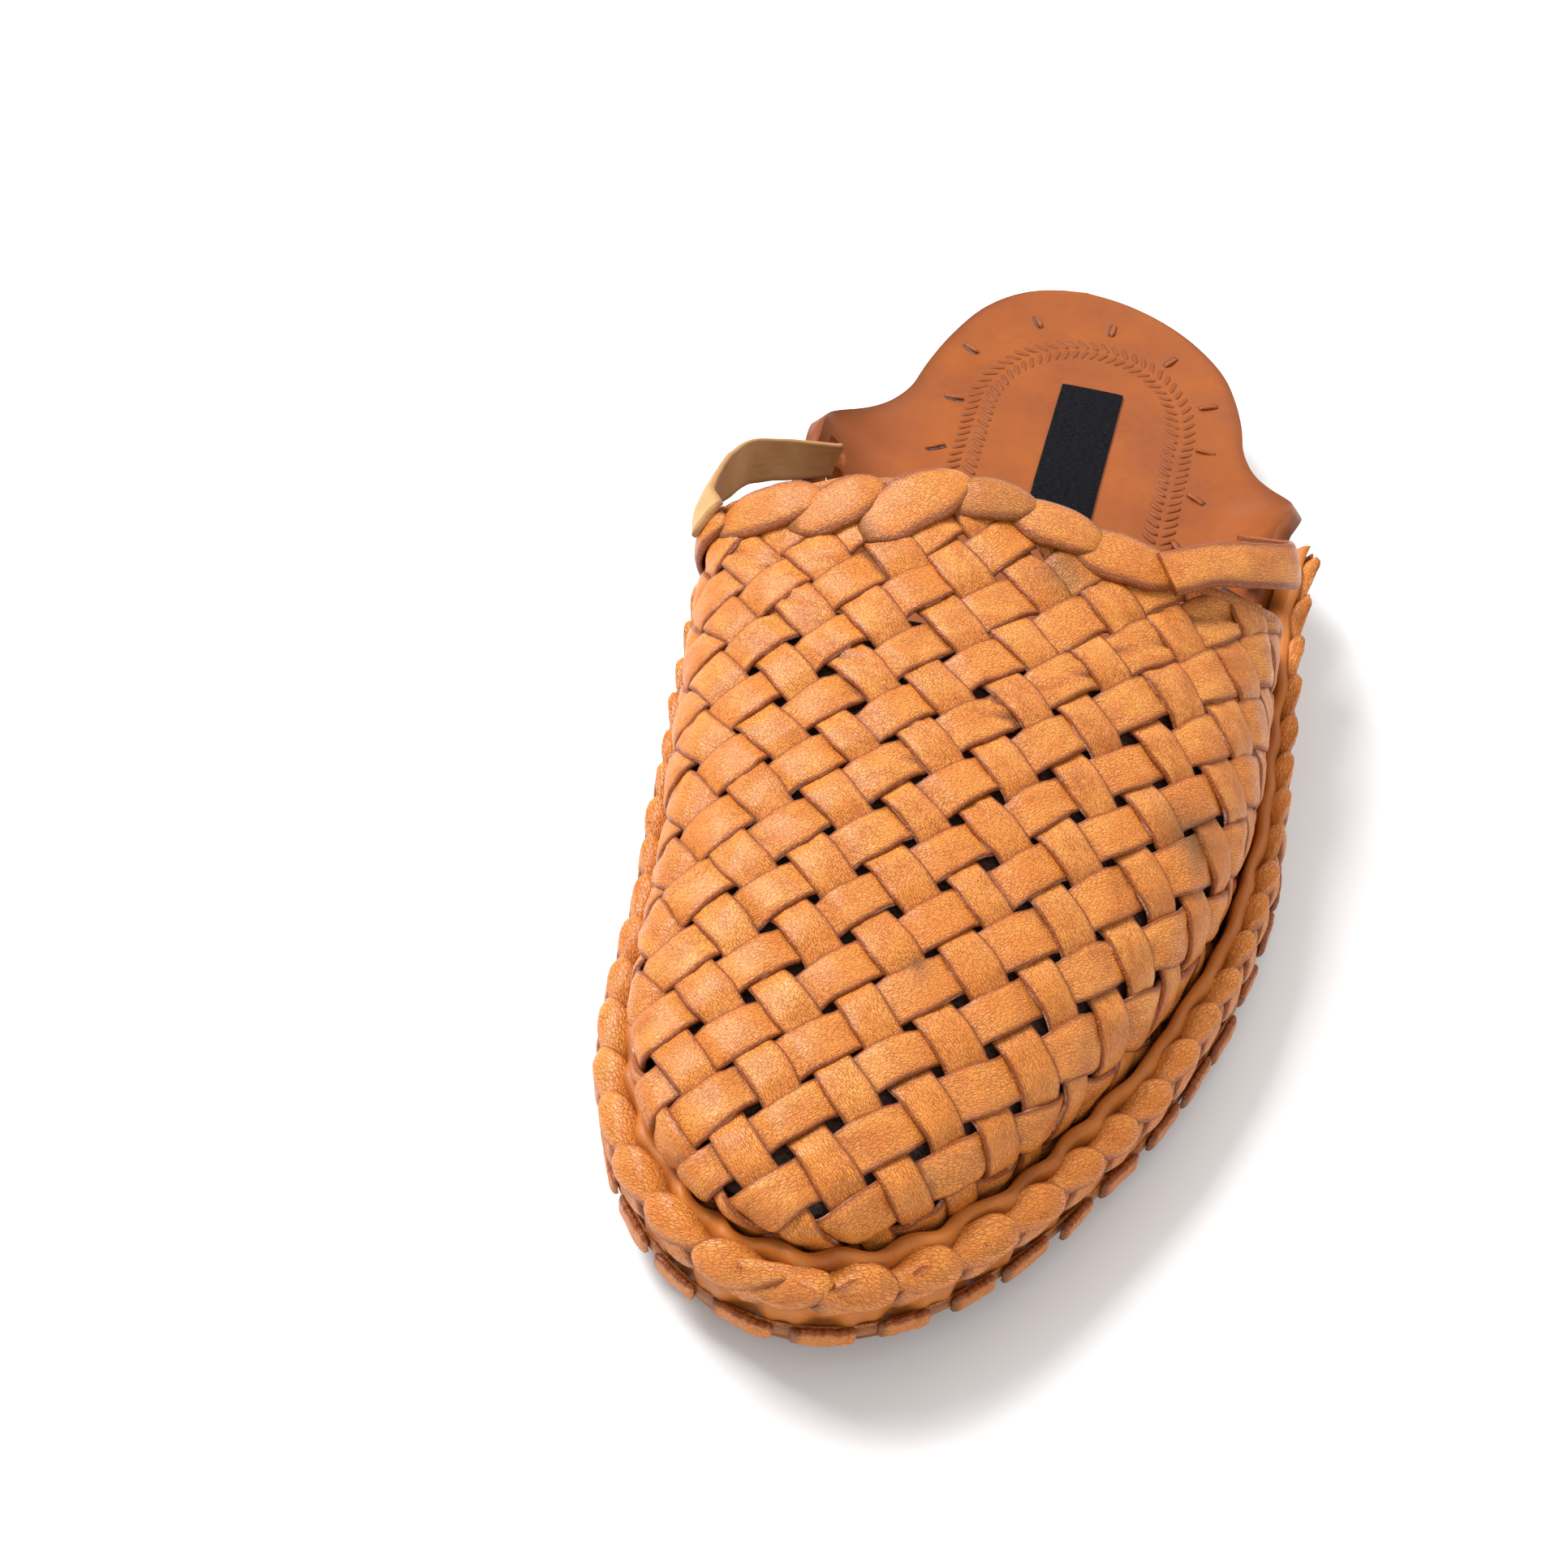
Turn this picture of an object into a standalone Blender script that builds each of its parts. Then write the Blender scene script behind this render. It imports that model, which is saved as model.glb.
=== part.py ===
"""A hand-woven leather slipper for the left foot, closed at the toe and open at the heel.

Metres, +Z up, the toe towards -Y, the medial side towards -X. The slipper stands on the floor,
and its origin is under the middle of its own box.
"""
import math

import bmesh
import bpy
import numpy as np
from mathutils import Matrix, Vector

# Driving sizes, in metres
LENGTH = 0.272
BALL_WIDTH = 0.104
HEEL_WIDTH = 0.070
TOE_SPRING = 0.005
HEEL_RISE = 0.013
OUTSOLE = 0.004
FOOTBED = 0.0035
INSTEP = 0.0375
GAP = 0.0003
EDGE_GAP = 0.0006
WALL_CLEAR = 0.0016
TUCK_CLEAR = 0.0012
SEAT_GAP = 0.0005
HEEL_STRAIGHT = 0.82
HEEL_BREAST = 0.715
LIFT_INSET = 0.0007
FOOTBED_START = 0.036

# The weave: strips that rise to the lateral side, and strips that fall to it
RISING_PITCH = 0.00955
FALLING_PITCH = 0.00985
RISING_WIDTH = 0.0077
FALLING_WIDTH = 0.0081
WALL_INSIDE = 0.0012
WALL_OUTSIDE = 0.0014
DIVE = 0.0009
OPEN_SHARE = 0.68
OPEN_TOEWARD = 0.008
WELD = 0.00002
TRIM_HALF = 0.01
COLLAR_FOLD = 0.0011
COLLAR_FOLD_WIDTH = 0.011
COLLAR_FOLD_END = 0.86
WEAVE_SHIFT = (0.0062, -0.0012)

# The pieces round the edge: how far out from the sole's edge, and how high over the sole leather
RIM_UP = 0.016
UPPER_OUT = -0.0059
RAND_OUT = -0.0022
RAND_THICK = 0.0024
RAND_TOP = 0.0166
RAND_WAVE = 0.0005
RAND_WAVE_LENGTH = 0.019
BAND_OUT = 0.0007
BAND_THICK = 0.0020
BAND_TOP = 0.0095
BAND_STATIONS = 51
BRAID_BOTTOM = 0.0099
BRAID_TOP = 0.0158
BRAID_DEPTH = 0.0046
LINK_PITCH = 0.0125
LINK_STEP = 0.0012
LINK_RISE = (0.0, 0.9, 1.0)
TAB_PITCH = 0.0125
TAB_LENGTH = 0.0095
TAB_HEIGHT = 0.0042
TAB_PROUD = 0.0016
TAB_SLOPE = 0.0004
TAB_LOW = 0.8
LACE_THICK = 0.0008
MEDIAL_END = 0.60
LATERAL_END = 0.67
FINE_STEPS = 401

# The label, the ear holes and the straps
LABEL = (0.0135, 0.050, 0.0007)
LABEL_PLACE = (0.018, 0.776)
LABEL_TURN = -0.01
EAR_HOLE = 0.0052
EAR_HOLE_SIDES = 10
EAR_HOLE_TURN = math.radians(72)
EAR_HOLE_DEPTH = 0.02
EAR_HOLES = ((0.700, -0.93), (0.675, -0.90))
STRAP_WIDTH = 0.0088
STRAP_THICK = 0.0016
STRAP_OUT = -0.0178
STRAP_LAP = 0.006
STRAP_END_UP = 0.0205
STRAP_LEAN = 0.25

# The straps' places on the flat vamp: where across each leaves the collar, where across and how
# far behind the collar it passes, and the share of the length where it ends (medial is minus)
EAR_STRAP = (-0.70, -0.84, 0.020, -0.672)
COLLAR_STRAP = (0.50, 0.76, 0.011, 0.660)

# The sole's plan: share of the length from the toe, centre as a share of the ball width,
# and width from the heel's (0) to the ball's (1)
PLAN = np.array([
    (0.00, -0.092, 0.385),
    (0.06, -0.088, 0.440),
    (0.13, -0.070, 0.520),
    (0.22, -0.030, 0.690),
    (0.33, 0.001, 1.020),
    (0.42, 0.011, 1.105),
    (0.51, 0.004, 1.000),
    (0.60, -0.002, 0.665),
    (0.70, -0.004, 0.180),
    (0.78, -0.002, 0.060),
    (0.85, 0.002, 0.020),
    (0.91, -0.002, 0.000),
    (0.96, -0.022, 0.000),
    (1.00, -0.048, 0.000),
])
TOE_ROUND = 0.25
HEEL_ROUND = 0.16

# The sole's underside: share of the length, share of the toe spring, share of the heel rise
PROFILE = np.array([
    (0.00, 1.00, 0.00),
    (0.05, 0.58, 0.00),
    (0.10, 0.26, 0.00),
    (0.15, 0.07, 0.00),
    (0.20, 0.00, 0.00),
    (0.42, 0.00, 0.00),
    (0.50, 0.00, 0.07),
    (0.58, 0.00, 0.33),
    (0.66, 0.00, 0.71),
    (0.72, 0.00, 0.94),
    (0.76, 0.00, 1.00),
    (1.00, 0.00, 1.00),
])

# How far the side leans out at the rim, as shares of the heel width: medial, lateral
FLARE = np.array([
    (0.00, 0.00, 0.00),
    (0.25, 0.00, 0.00),
    (0.36, 0.04, 0.00),
    (0.48, 0.11, 0.02),
    (0.60, 0.20, 0.10),
    (0.68, 0.25, 0.21),
    (0.74, 0.27, 0.26),
    (0.79, 0.17, 0.17),
    (0.84, 0.04, 0.04),
    (0.90, 0.00, 0.00),
    (1.00, 0.00, 0.00),
])

# The crown of the vamp: share of the length, height as a share of the instep,
# and its sideways place as a share of the ball width
CROWN = np.array([
    (0.00, 0.36, -0.045),
    (0.08, 0.45, -0.045),
    (0.17, 0.55, -0.045),
    (0.27, 0.68, -0.060),
    (0.37, 0.80, -0.080),
    (0.47, 0.92, -0.100),
    (0.55, 1.00, -0.115),
    (0.72, 1.12, -0.120),
])
TOE_CENTRE = 0.17
VAMP_FULLNESS = 2.5
VAMP_BULGE = (0.21, 0.06)
BULGE_PEAK = 6.75
BULGE_BLEND = 0.5
SPINE_STRETCH = 1.05
RIB_REACH = 0.78

# The collar: place across from the medial rim (-1) over the crown (0) to the lateral rim (1),
# and the share of the length
COLLAR = np.array([
    (-1.00, 0.575),
    (-0.88, 0.560),
    (-0.70, 0.542),
    (-0.45, 0.538),
    (-0.20, 0.546),
    (0.00, 0.546),
    (0.22, 0.535),
    (0.45, 0.530),
    (0.65, 0.541),
    (0.85, 0.572),
    (1.00, 0.590),
])

# The footbed's edge: share of the length, how far in from the sole's edge (1 is just inside
# the woven wall), and how far it curls up at the ears, as a share of the rim's height
FOOTBED_EDGE = np.array([
    (0.000, 1.00, 0.00),
    (0.555, 1.00, 0.00),
    (0.585, 0.96, 0.08),
    (0.605, 1.0, 0.46),
    (0.630, 1.08, 0.72),
    (0.690, 1.08, 0.84),
    (0.715, 0.8, 0.74),
    (0.745, 0.18, 0.46),
    (0.775, 0.04, 0.24),
    (0.805, 0.00, 0.09),
    (0.840, 0.00, 0.02),
    (0.880, 0.00, 0.00),
    (1.000, 0.00, 0.00),
])
FOOTBED_ACROSS = np.array([-1.0, -0.91, -0.78, 0.0, 0.78, 0.91, 1.0])
FOOTBED_INSET = 0.0004
FOOTBED_FLAT = 0.66
FOOTBED_CURL = 2.0

# The braid's section: share of its depth, share of its height, and how much of a link's step
# is added outward by the lower row, outward by the upper row, and upward by the upper row
BRAID_SECTION = np.array([
    (0.00, 0.00, 0.0, 0.0, 0.0),
    (0.70, 0.00, 1.0, 0.0, 0.0),
    (1.00, 0.22, 1.0, 0.0, 0.0),
    (0.88, 0.48, 0.0, 0.0, 0.0),
    (0.90, 0.75, 0.0, 1.0, 0.0),
    (0.45, 1.00, 0.0, 0.0, 1.0),
    (0.00, 1.00, 0.0, 0.0, 0.6),
])

# The braid's depth: share of the length, share of its full depth
BRAID_THIN = np.array([
    (0.00, 1.00),
    (0.18, 0.95),
    (0.34, 0.60),
    (0.50, 0.45),
    (1.00, 0.45),
])

# Colours as red, green, blue; then roughness
STRIP_LEATHER = ("strip_leather", (0.79, 0.31, 0.08), 0.45)
SOLE_LEATHER = ("sole_leather", (0.48, 0.16, 0.045), 0.5)
BAND_LEATHER = ("band_leather", (0.52, 0.18, 0.04), 0.45)
PALE_LEATHER = ("pale_leather", (0.66, 0.37, 0.17), 0.7)
PATCH_CLOTH = ("patch_cloth", (0.012, 0.012, 0.015), 0.6)


def smooth(x, places, values):
    """Monotone cubic through a table: between two rows it never goes past either."""
    x = np.clip(x, places[0], places[-1])
    step = np.diff(places)
    slope = np.diff(values) / step
    same = slope[:-1] * slope[1:] > 0
    total = np.where(same, slope[:-1] + slope[1:], 1.0)
    middle = np.where(same, 2 * slope[:-1] * slope[1:] / total, 0.0)
    ends = np.concatenate([slope[:1], middle, slope[-1:]])
    row = np.clip(np.searchsorted(places, x, side="right") - 1, 0, len(step) - 1)
    width = step[row]
    part = (x - places[row]) / width
    rest = 1 - part
    rise = values[row] * (1 + 2 * part) * rest**2 + values[row + 1] * (3 - 2 * part) * part**2
    return rise + width * part * rest * (ends[row] * rest - ends[row + 1] * part)


def cap(share):
    """Quarter of an ellipse: 0 at 0, 1 from 1 on."""
    return np.sqrt(1 - (1 - np.clip(share, 0, 1)) ** 2)


def outline(t, side):
    """Sole's edge in plan at share t of the length, on the medial (-1) or lateral (1) side."""
    centre = BALL_WIDTH * smooth(t, PLAN[:, 0], PLAN[:, 1])
    width = HEEL_WIDTH + (BALL_WIDTH - HEEL_WIDTH) * smooth(t, PLAN[:, 0], PLAN[:, 2])
    half = width / 2 * cap(t / TOE_ROUND) * cap((1 - t) / HEEL_ROUND)
    return np.stack([centre + side * half, (t - 0.5) * LENGTH], axis=-1)


def underside(t):
    """Height of the sole leather's underside at share t of the length."""
    spring = smooth(t, PROFILE[:, 0], PROFILE[:, 1])
    rise = smooth(t, PROFILE[:, 0], PROFILE[:, 2])
    return TOE_SPRING * spring + HEEL_RISE * rise


def flare(t, side):
    """How far the side leans out at the rim."""
    medial = smooth(t, FLARE[:, 0], FLARE[:, 1])
    lateral = smooth(t, FLARE[:, 0], FLARE[:, 2])
    return HEEL_WIDTH * np.where(side < 0, medial, lateral)


def edge(w, out, up, reach=1.0):
    """Point beside the sole's edge.

    w runs from -1 on the medial side over 0 at the toe to 1 on the lateral side, and the share of
    the length is reach times its square. The point lies out from the edge and up over the sole
    leather, and the side's lean is added in proportion to its height.
    """
    t = reach * w**2
    side = np.where(w < 0, -1.0, 1.0)
    here = outline(t, side)
    small = 1e-4
    ahead = outline(reach * (w + small) ** 2, np.where(w + small < 0, -1.0, 1.0))
    behind = outline(reach * (w - small) ** 2, np.where(w - small < 0, -1.0, 1.0))
    run = ahead - behind
    run = run / np.linalg.norm(run, axis=-1, keepdims=True)
    outward = np.stack([run[..., 1], -run[..., 0]], axis=-1)
    shift = out + flare(t, side) * up / RIM_UP
    plan = here + outward * np.asarray(shift)[..., None]
    height = underside(t) + OUTSOLE + up
    return np.concatenate([plan, np.asarray(height)[..., None]], axis=-1)


def edge_stations(count):
    """Values of w at equal steps along the sole's edge, from the medial to the lateral end."""
    dense = np.linspace(-math.sqrt(MEDIAL_END / LATERAL_END), 1, 2 * FINE_STEPS)
    points = edge(dense, np.zeros_like(dense), np.zeros_like(dense), LATERAL_END)
    steps = np.linalg.norm(np.diff(points, axis=0), axis=1)
    along = np.concatenate([[0], np.cumsum(steps)])
    want = np.linspace(0, along[-1], count)
    return np.interp(want, along, dense), along[-1]


def crown(t):
    """Height of the vamp's crown over the rim, and its sideways place."""
    height = INSTEP * smooth(t, CROWN[:, 0], CROWN[:, 1])
    return height, BALL_WIDTH * smooth(t, CROWN[:, 0], CROWN[:, 2])


class Vamp:
    """The surface of the woven vamp, laid out flat.

    A flat point (across, along) lies on a rib: a straight one across the crown line for along > 0,
    and one of a fan round the toe's centre for along < 0. Each rib falls from the crown to the rim
    as a quarter of a superellipse, is measured by its length, and goes on down inside the rand.
    """

    SAMPLES = 48

    def __init__(self):
        self.middle = np.array([crown(TOE_CENTRE)[1], (TOE_CENTRE - 0.5) * LENGTH])
        self.w = np.linspace(-1, 1, 1601)
        self.rim = edge(self.w, UPPER_OUT, RIM_UP, RIB_REACH)
        away = self.rim[:, :2] - self.middle
        self.angle = np.arctan2(away[:, 0], -away[:, 1])

    def rib_of(self, across, along):
        """Value of w at the end of the rib, the rib's own crown point, and the length along it."""
        fan = along < 0
        turn = np.arctan2(across, -along)
        inside = np.abs(self.angle) <= math.pi / 2 + 0.2
        w_fan = np.interp(turn, self.angle[inside], self.w[inside])
        y = self.middle[1] + along / SPINE_STRETCH
        medial = self.w < 0
        w_medial = np.interp(y, self.rim[medial, 1][::-1], self.w[medial][::-1])
        w_lateral = np.interp(y, self.rim[~medial, 1], self.w[~medial])
        w = np.where(fan, w_fan, np.where(across < 0, w_medial, w_lateral))
        top_x = np.where(fan, self.middle[0], crown(y / LENGTH + 0.5)[1])
        top = np.stack([top_x, np.where(fan, self.middle[1], y)], axis=-1)
        length = np.where(fan, np.hypot(across, along), np.abs(across))
        return w, top, length

    def ribs(self, w, top):
        """Points of each rib from crown to rim, and how long it is up to each point."""
        share = np.sin(np.linspace(0, math.pi / 2, self.SAMPLES))
        rim = edge(w, UPPER_OUT, RIM_UP, RIB_REACH)
        fall = (1 - share**VAMP_FULLNESS) ** (1 / VAMP_FULLNESS)
        medial = np.clip(0.5 - w / BULGE_BLEND, 0, 1)
        bulge = VAMP_BULGE[0] * medial + VAMP_BULGE[1] * (1 - medial)
        reach = share * (1 + bulge[:, None] * BULGE_PEAK * fall**2 * (1 - fall))
        plan = top[:, None, :] + reach[..., None] * (rim[:, None, :2] - top[:, None, :])
        t = plan[..., 1] / LENGTH + 0.5
        top_height = underside(t) + OUTSOLE + RIM_UP + crown(t)[0]
        height = rim[:, None, 2] + (top_height - rim[:, None, 2]) * fall
        points = np.concatenate([plan, height[..., None]], axis=-1)
        steps = np.linalg.norm(np.diff(points, axis=1), axis=2)
        return points, np.concatenate([np.zeros((len(w), 1)), np.cumsum(steps, axis=1)], axis=1)

    def point(self, across, along):
        """The place of each flat point on the vamp."""
        w, top, length = self.rib_of(across, along)
        points, measured = self.ribs(w, top)
        rows = np.arange(len(w))
        after = np.clip((measured < length[:, None]).sum(axis=1), 1, self.SAMPLES - 1)
        low = measured[rows, after - 1]
        part = np.clip((length - low) / (measured[rows, after] - low), 0, 1)[:, None]
        on_rib = points[rows, after - 1] * (1 - part) + points[rows, after] * part
        beyond = np.maximum(length - measured[:, -1], 0)
        under = edge(w, UPPER_OUT, RIM_UP - beyond, RIB_REACH)
        return np.where((beyond > 0)[:, None], under, on_rib)

    def lift(self, across, along, height):
        """Flat points raised by their height along the surface's own normal."""
        small = 2e-4
        du = self.point(across + small, along) - self.point(across - small, along)
        dv = self.point(across, along + small) - self.point(across, along - small)
        normal = np.cross(du, dv)
        normal /= np.linalg.norm(normal, axis=1, keepdims=True)
        return self.point(across, along) + normal * height[:, None]

    def rim_length(self, w, top):
        return self.ribs(w, top)[1][:, -1]

    def flat_outline(self, tucked=True):
        """The panel's edge when laid flat: down one side, round the toe, up the other, the collar.

        It runs along the end of the tuck inside the rand, or along the rim.
        """
        ends = (COLLAR[0, 1], COLLAR[-1, 1])
        sides = []
        for side, end in zip((-1.0, 1.0), ends):
            y = np.linspace((end - 0.5) * LENGTH, self.middle[1], 22)
            along = (y - self.middle[1]) * SPINE_STRETCH
            w, top, _ = self.rib_of(np.full_like(y, side), along + 1e-9)
            length = self.rim_length(w, top) + tucked * self.tuck(y / LENGTH + 0.5)
            sides.append(np.stack([side * length, along], axis=-1))
        turn = np.linspace(-math.pi / 2, math.pi / 2, 31)[1:-1]
        w, top, _ = self.rib_of(np.sin(turn), -np.cos(turn))
        length = self.rim_length(w, top) + tucked * self.tuck(TOE_CENTRE)
        toe = np.stack([length * np.sin(turn), -length * np.cos(turn)], axis=-1)
        return np.concatenate([sides[0], toe, sides[1][::-1], self.collar(np.linspace(0.97, -0.97, 33))])

    def tuck(self, t):
        """How far the wall goes on below the rim; it ends above the footbed's ears."""
        full = RIM_UP - TUCK_CLEAR
        return full * (1 - smooth(t, np.array([0.0, 0.525, 0.59]), np.array([0.0, 0.0, 1.0])))

    def collar(self, place):
        """The collar's curve on the flat panel, from its table."""
        share = smooth(place, COLLAR[:, 0], COLLAR[:, 1])
        along = (share - TOE_CENTRE) * LENGTH * SPINE_STRETCH
        side = np.where(place < 0, -1.0, 1.0)
        w, top, _ = self.rib_of(side, along)
        return np.stack([place * self.rim_length(w, top), along], axis=-1)


def material(finish):
    """One leather: a Principled shader with its colour and roughness."""
    name, colour, roughness = finish
    made = bpy.data.materials.get(name)
    if made is None:
        made = bpy.data.materials.new(name)
        made.use_nodes = True
        shader = made.node_tree.nodes["Principled BSDF"]
        shader.inputs["Base Color"].default_value = (*colour, 1)
        shader.inputs["Roughness"].default_value = roughness
        made.diffuse_color = (*colour, 1)
    return made


def add_object(name, mesh, finish, collection):
    """Object for a mesh, with its normals outward."""
    shape = bmesh.new()
    shape.from_mesh(mesh)
    bmesh.ops.recalc_face_normals(shape, faces=shape.faces)
    shape.to_mesh(mesh)
    shape.free()
    thing = bpy.data.objects.new(name, mesh)
    if finish is not None:
        mesh.materials.append(material(finish))
    collection.objects.link(thing)
    return thing


def loft(name, sections, finish, collection):
    """Closed sections, one per station, joined by quads and capped at both ends."""
    stations, corners, _ = sections.shape
    index = np.arange(stations * corners).reshape(stations, corners)
    around = np.roll(index, -1, axis=1)
    quads = np.stack([index[:-1], around[:-1], around[1:], index[1:]], axis=-1).reshape(-1, 4)
    faces = quads.tolist() + [index[0].tolist(), index[-1][::-1].tolist()]
    mesh = bpy.data.meshes.new(name)
    mesh.from_pydata(sections.reshape(-1, 3).tolist(), [], faces)
    return add_object(name, mesh, finish, collection)


def sheet(name, grid, thickness, finish, collection):
    """An open grid given its thickness downward by Solidify."""
    rows, columns, _ = grid.shape
    index = np.arange(rows * columns).reshape(rows, columns)
    quads = np.stack([index[:-1, :-1], index[:-1, 1:], index[1:, 1:], index[1:, :-1]], axis=-1)
    mesh = bpy.data.meshes.new(name)
    mesh.from_pydata(grid.reshape(-1, 3).tolist(), [], quads.reshape(-1, 4).tolist())
    thing = bpy.data.objects.new(name, mesh)
    mesh.materials.append(material(finish))
    collection.objects.link(thing)
    solidify = thing.modifiers.new("thickness", "SOLIDIFY")
    solidify.thickness = thickness
    solidify.offset = -1.0
    solidify.use_even_offset = True
    return thing


def slab(name, t, inset, low, high, finish, collection):
    """Flat layer of the sole: four corners at each share t of the length."""
    sections = []
    for height, side in ((low, -1.0), (low, 1.0), (high, 1.0), (high, -1.0)):
        plan = outline(t, side)
        plan[:, 0] -= side * inset
        sections.append(np.concatenate([plan, height[:, None]], axis=1))
    return loft(name, np.stack(sections, axis=1), finish, collection)


def sole_stations():
    """Shares of the length for the sole's layers, closer at the round ends and the waist."""
    toe = TOE_CENTRE * np.linspace(0.1, 1, 8, endpoint=False) ** 2
    ball = np.linspace(TOE_CENTRE, 0.5, 7, endpoint=False)
    waist = np.linspace(0.5, HEEL_STRAIGHT, 15, endpoint=False)
    heel = HEEL_STRAIGHT + (1 - HEEL_STRAIGHT) * np.sin(np.linspace(0, 0.96, 11) * math.pi / 2)
    return np.concatenate([toe, ball, waist, heel])


def make_outsole(collection):
    """Sole leather, with a flat stretch under the ball and a rise to the heel."""
    t = sole_stations()
    low = underside(t)
    return slab("outsole", t, 0.0, low, low + OUTSOLE, SOLE_LEATHER, collection)


def make_heel_lift(collection):
    """Heel block: flat on the floor, its top under the sole leather, its breast upright."""
    t = sole_stations()
    t = t[t > HEEL_BREAST]
    high = underside(t) - GAP
    return slab("heel_lift", t, LIFT_INSET, np.zeros_like(t), high, SOLE_LEATHER, collection)


def footbed_point(t, across):
    """Top of the footbed: flat in the middle, curling up to its edge at the ears."""
    inward = smooth(t, FOOTBED_EDGE[:, 0], FOOTBED_EDGE[:, 1])
    inside_wall = UPPER_OUT - WALL_INSIDE - WALL_CLEAR
    out = inward * inside_wall - (1 - inward) * FOOTBED_INSET
    up = SEAT_GAP + FOOTBED + RIM_UP * smooth(t, FOOTBED_EDGE[:, 0], FOOTBED_EDGE[:, 2])
    side = np.where(across < 0, -1.0, 1.0)
    rim = edge(side * np.sqrt(t), out, up)
    centre = outline(t, -1.0) / 2 + outline(t, 1.0) / 2
    share = np.abs(across)
    plan = centre + share[..., None] * (rim[..., :2] - centre)
    flat = underside(t) + OUTSOLE + SEAT_GAP + FOOTBED
    curl = np.clip((share - FOOTBED_FLAT) / (1 - FOOTBED_FLAT), 0, 1) ** FOOTBED_CURL
    height = flat + (rim[..., 2] - flat) * curl
    return np.concatenate([plan, height[..., None]], axis=-1)


def make_footbed(collection, cutters):
    """Inner sole with its two ears, and two round holes in the medial ear."""
    t = sole_stations()
    t = t[t > FOOTBED_START]
    grid = footbed_point(t[:, None] + 0 * FOOTBED_ACROSS, FOOTBED_ACROSS + 0 * t[:, None])
    thing = sheet("footbed", grid, FOOTBED, SOLE_LEATHER, collection)
    for number, (share, place) in enumerate(EAR_HOLES):
        centre = footbed_point(np.array([share]), np.array([place]))[0]
        bpy.ops.mesh.primitive_cylinder_add(
            vertices=EAR_HOLE_SIDES, radius=EAR_HOLE / 2, depth=EAR_HOLE_DEPTH, location=centre,
            rotation=(0, EAR_HOLE_TURN, 0))
        cutter = bpy.context.object
        cutter.name = f"ear_hole_cutter_{number}"
        cutter.hide_render = True
        cutter.display_type = "WIRE"
        for owner in list(cutter.users_collection):
            owner.objects.unlink(cutter)
        cutters.objects.link(cutter)
        cut = thing.modifiers.new(f"ear_hole_{number}", "BOOLEAN")
        cut.operation = "DIFFERENCE"
        cut.object = cutter
    return thing


def strip_line(number, pitch, width):
    """Distance of a strip's edge: even numbers are near edges, odd ones far edges."""
    return (number // 2) * pitch + (width / 2 if number % 2 else -width / 2)


def falling_line(number):
    return strip_line(number, FALLING_PITCH, FALLING_WIDTH)


def rising_line(number):
    return strip_line(number, RISING_PITCH, RISING_WIDTH)


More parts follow.
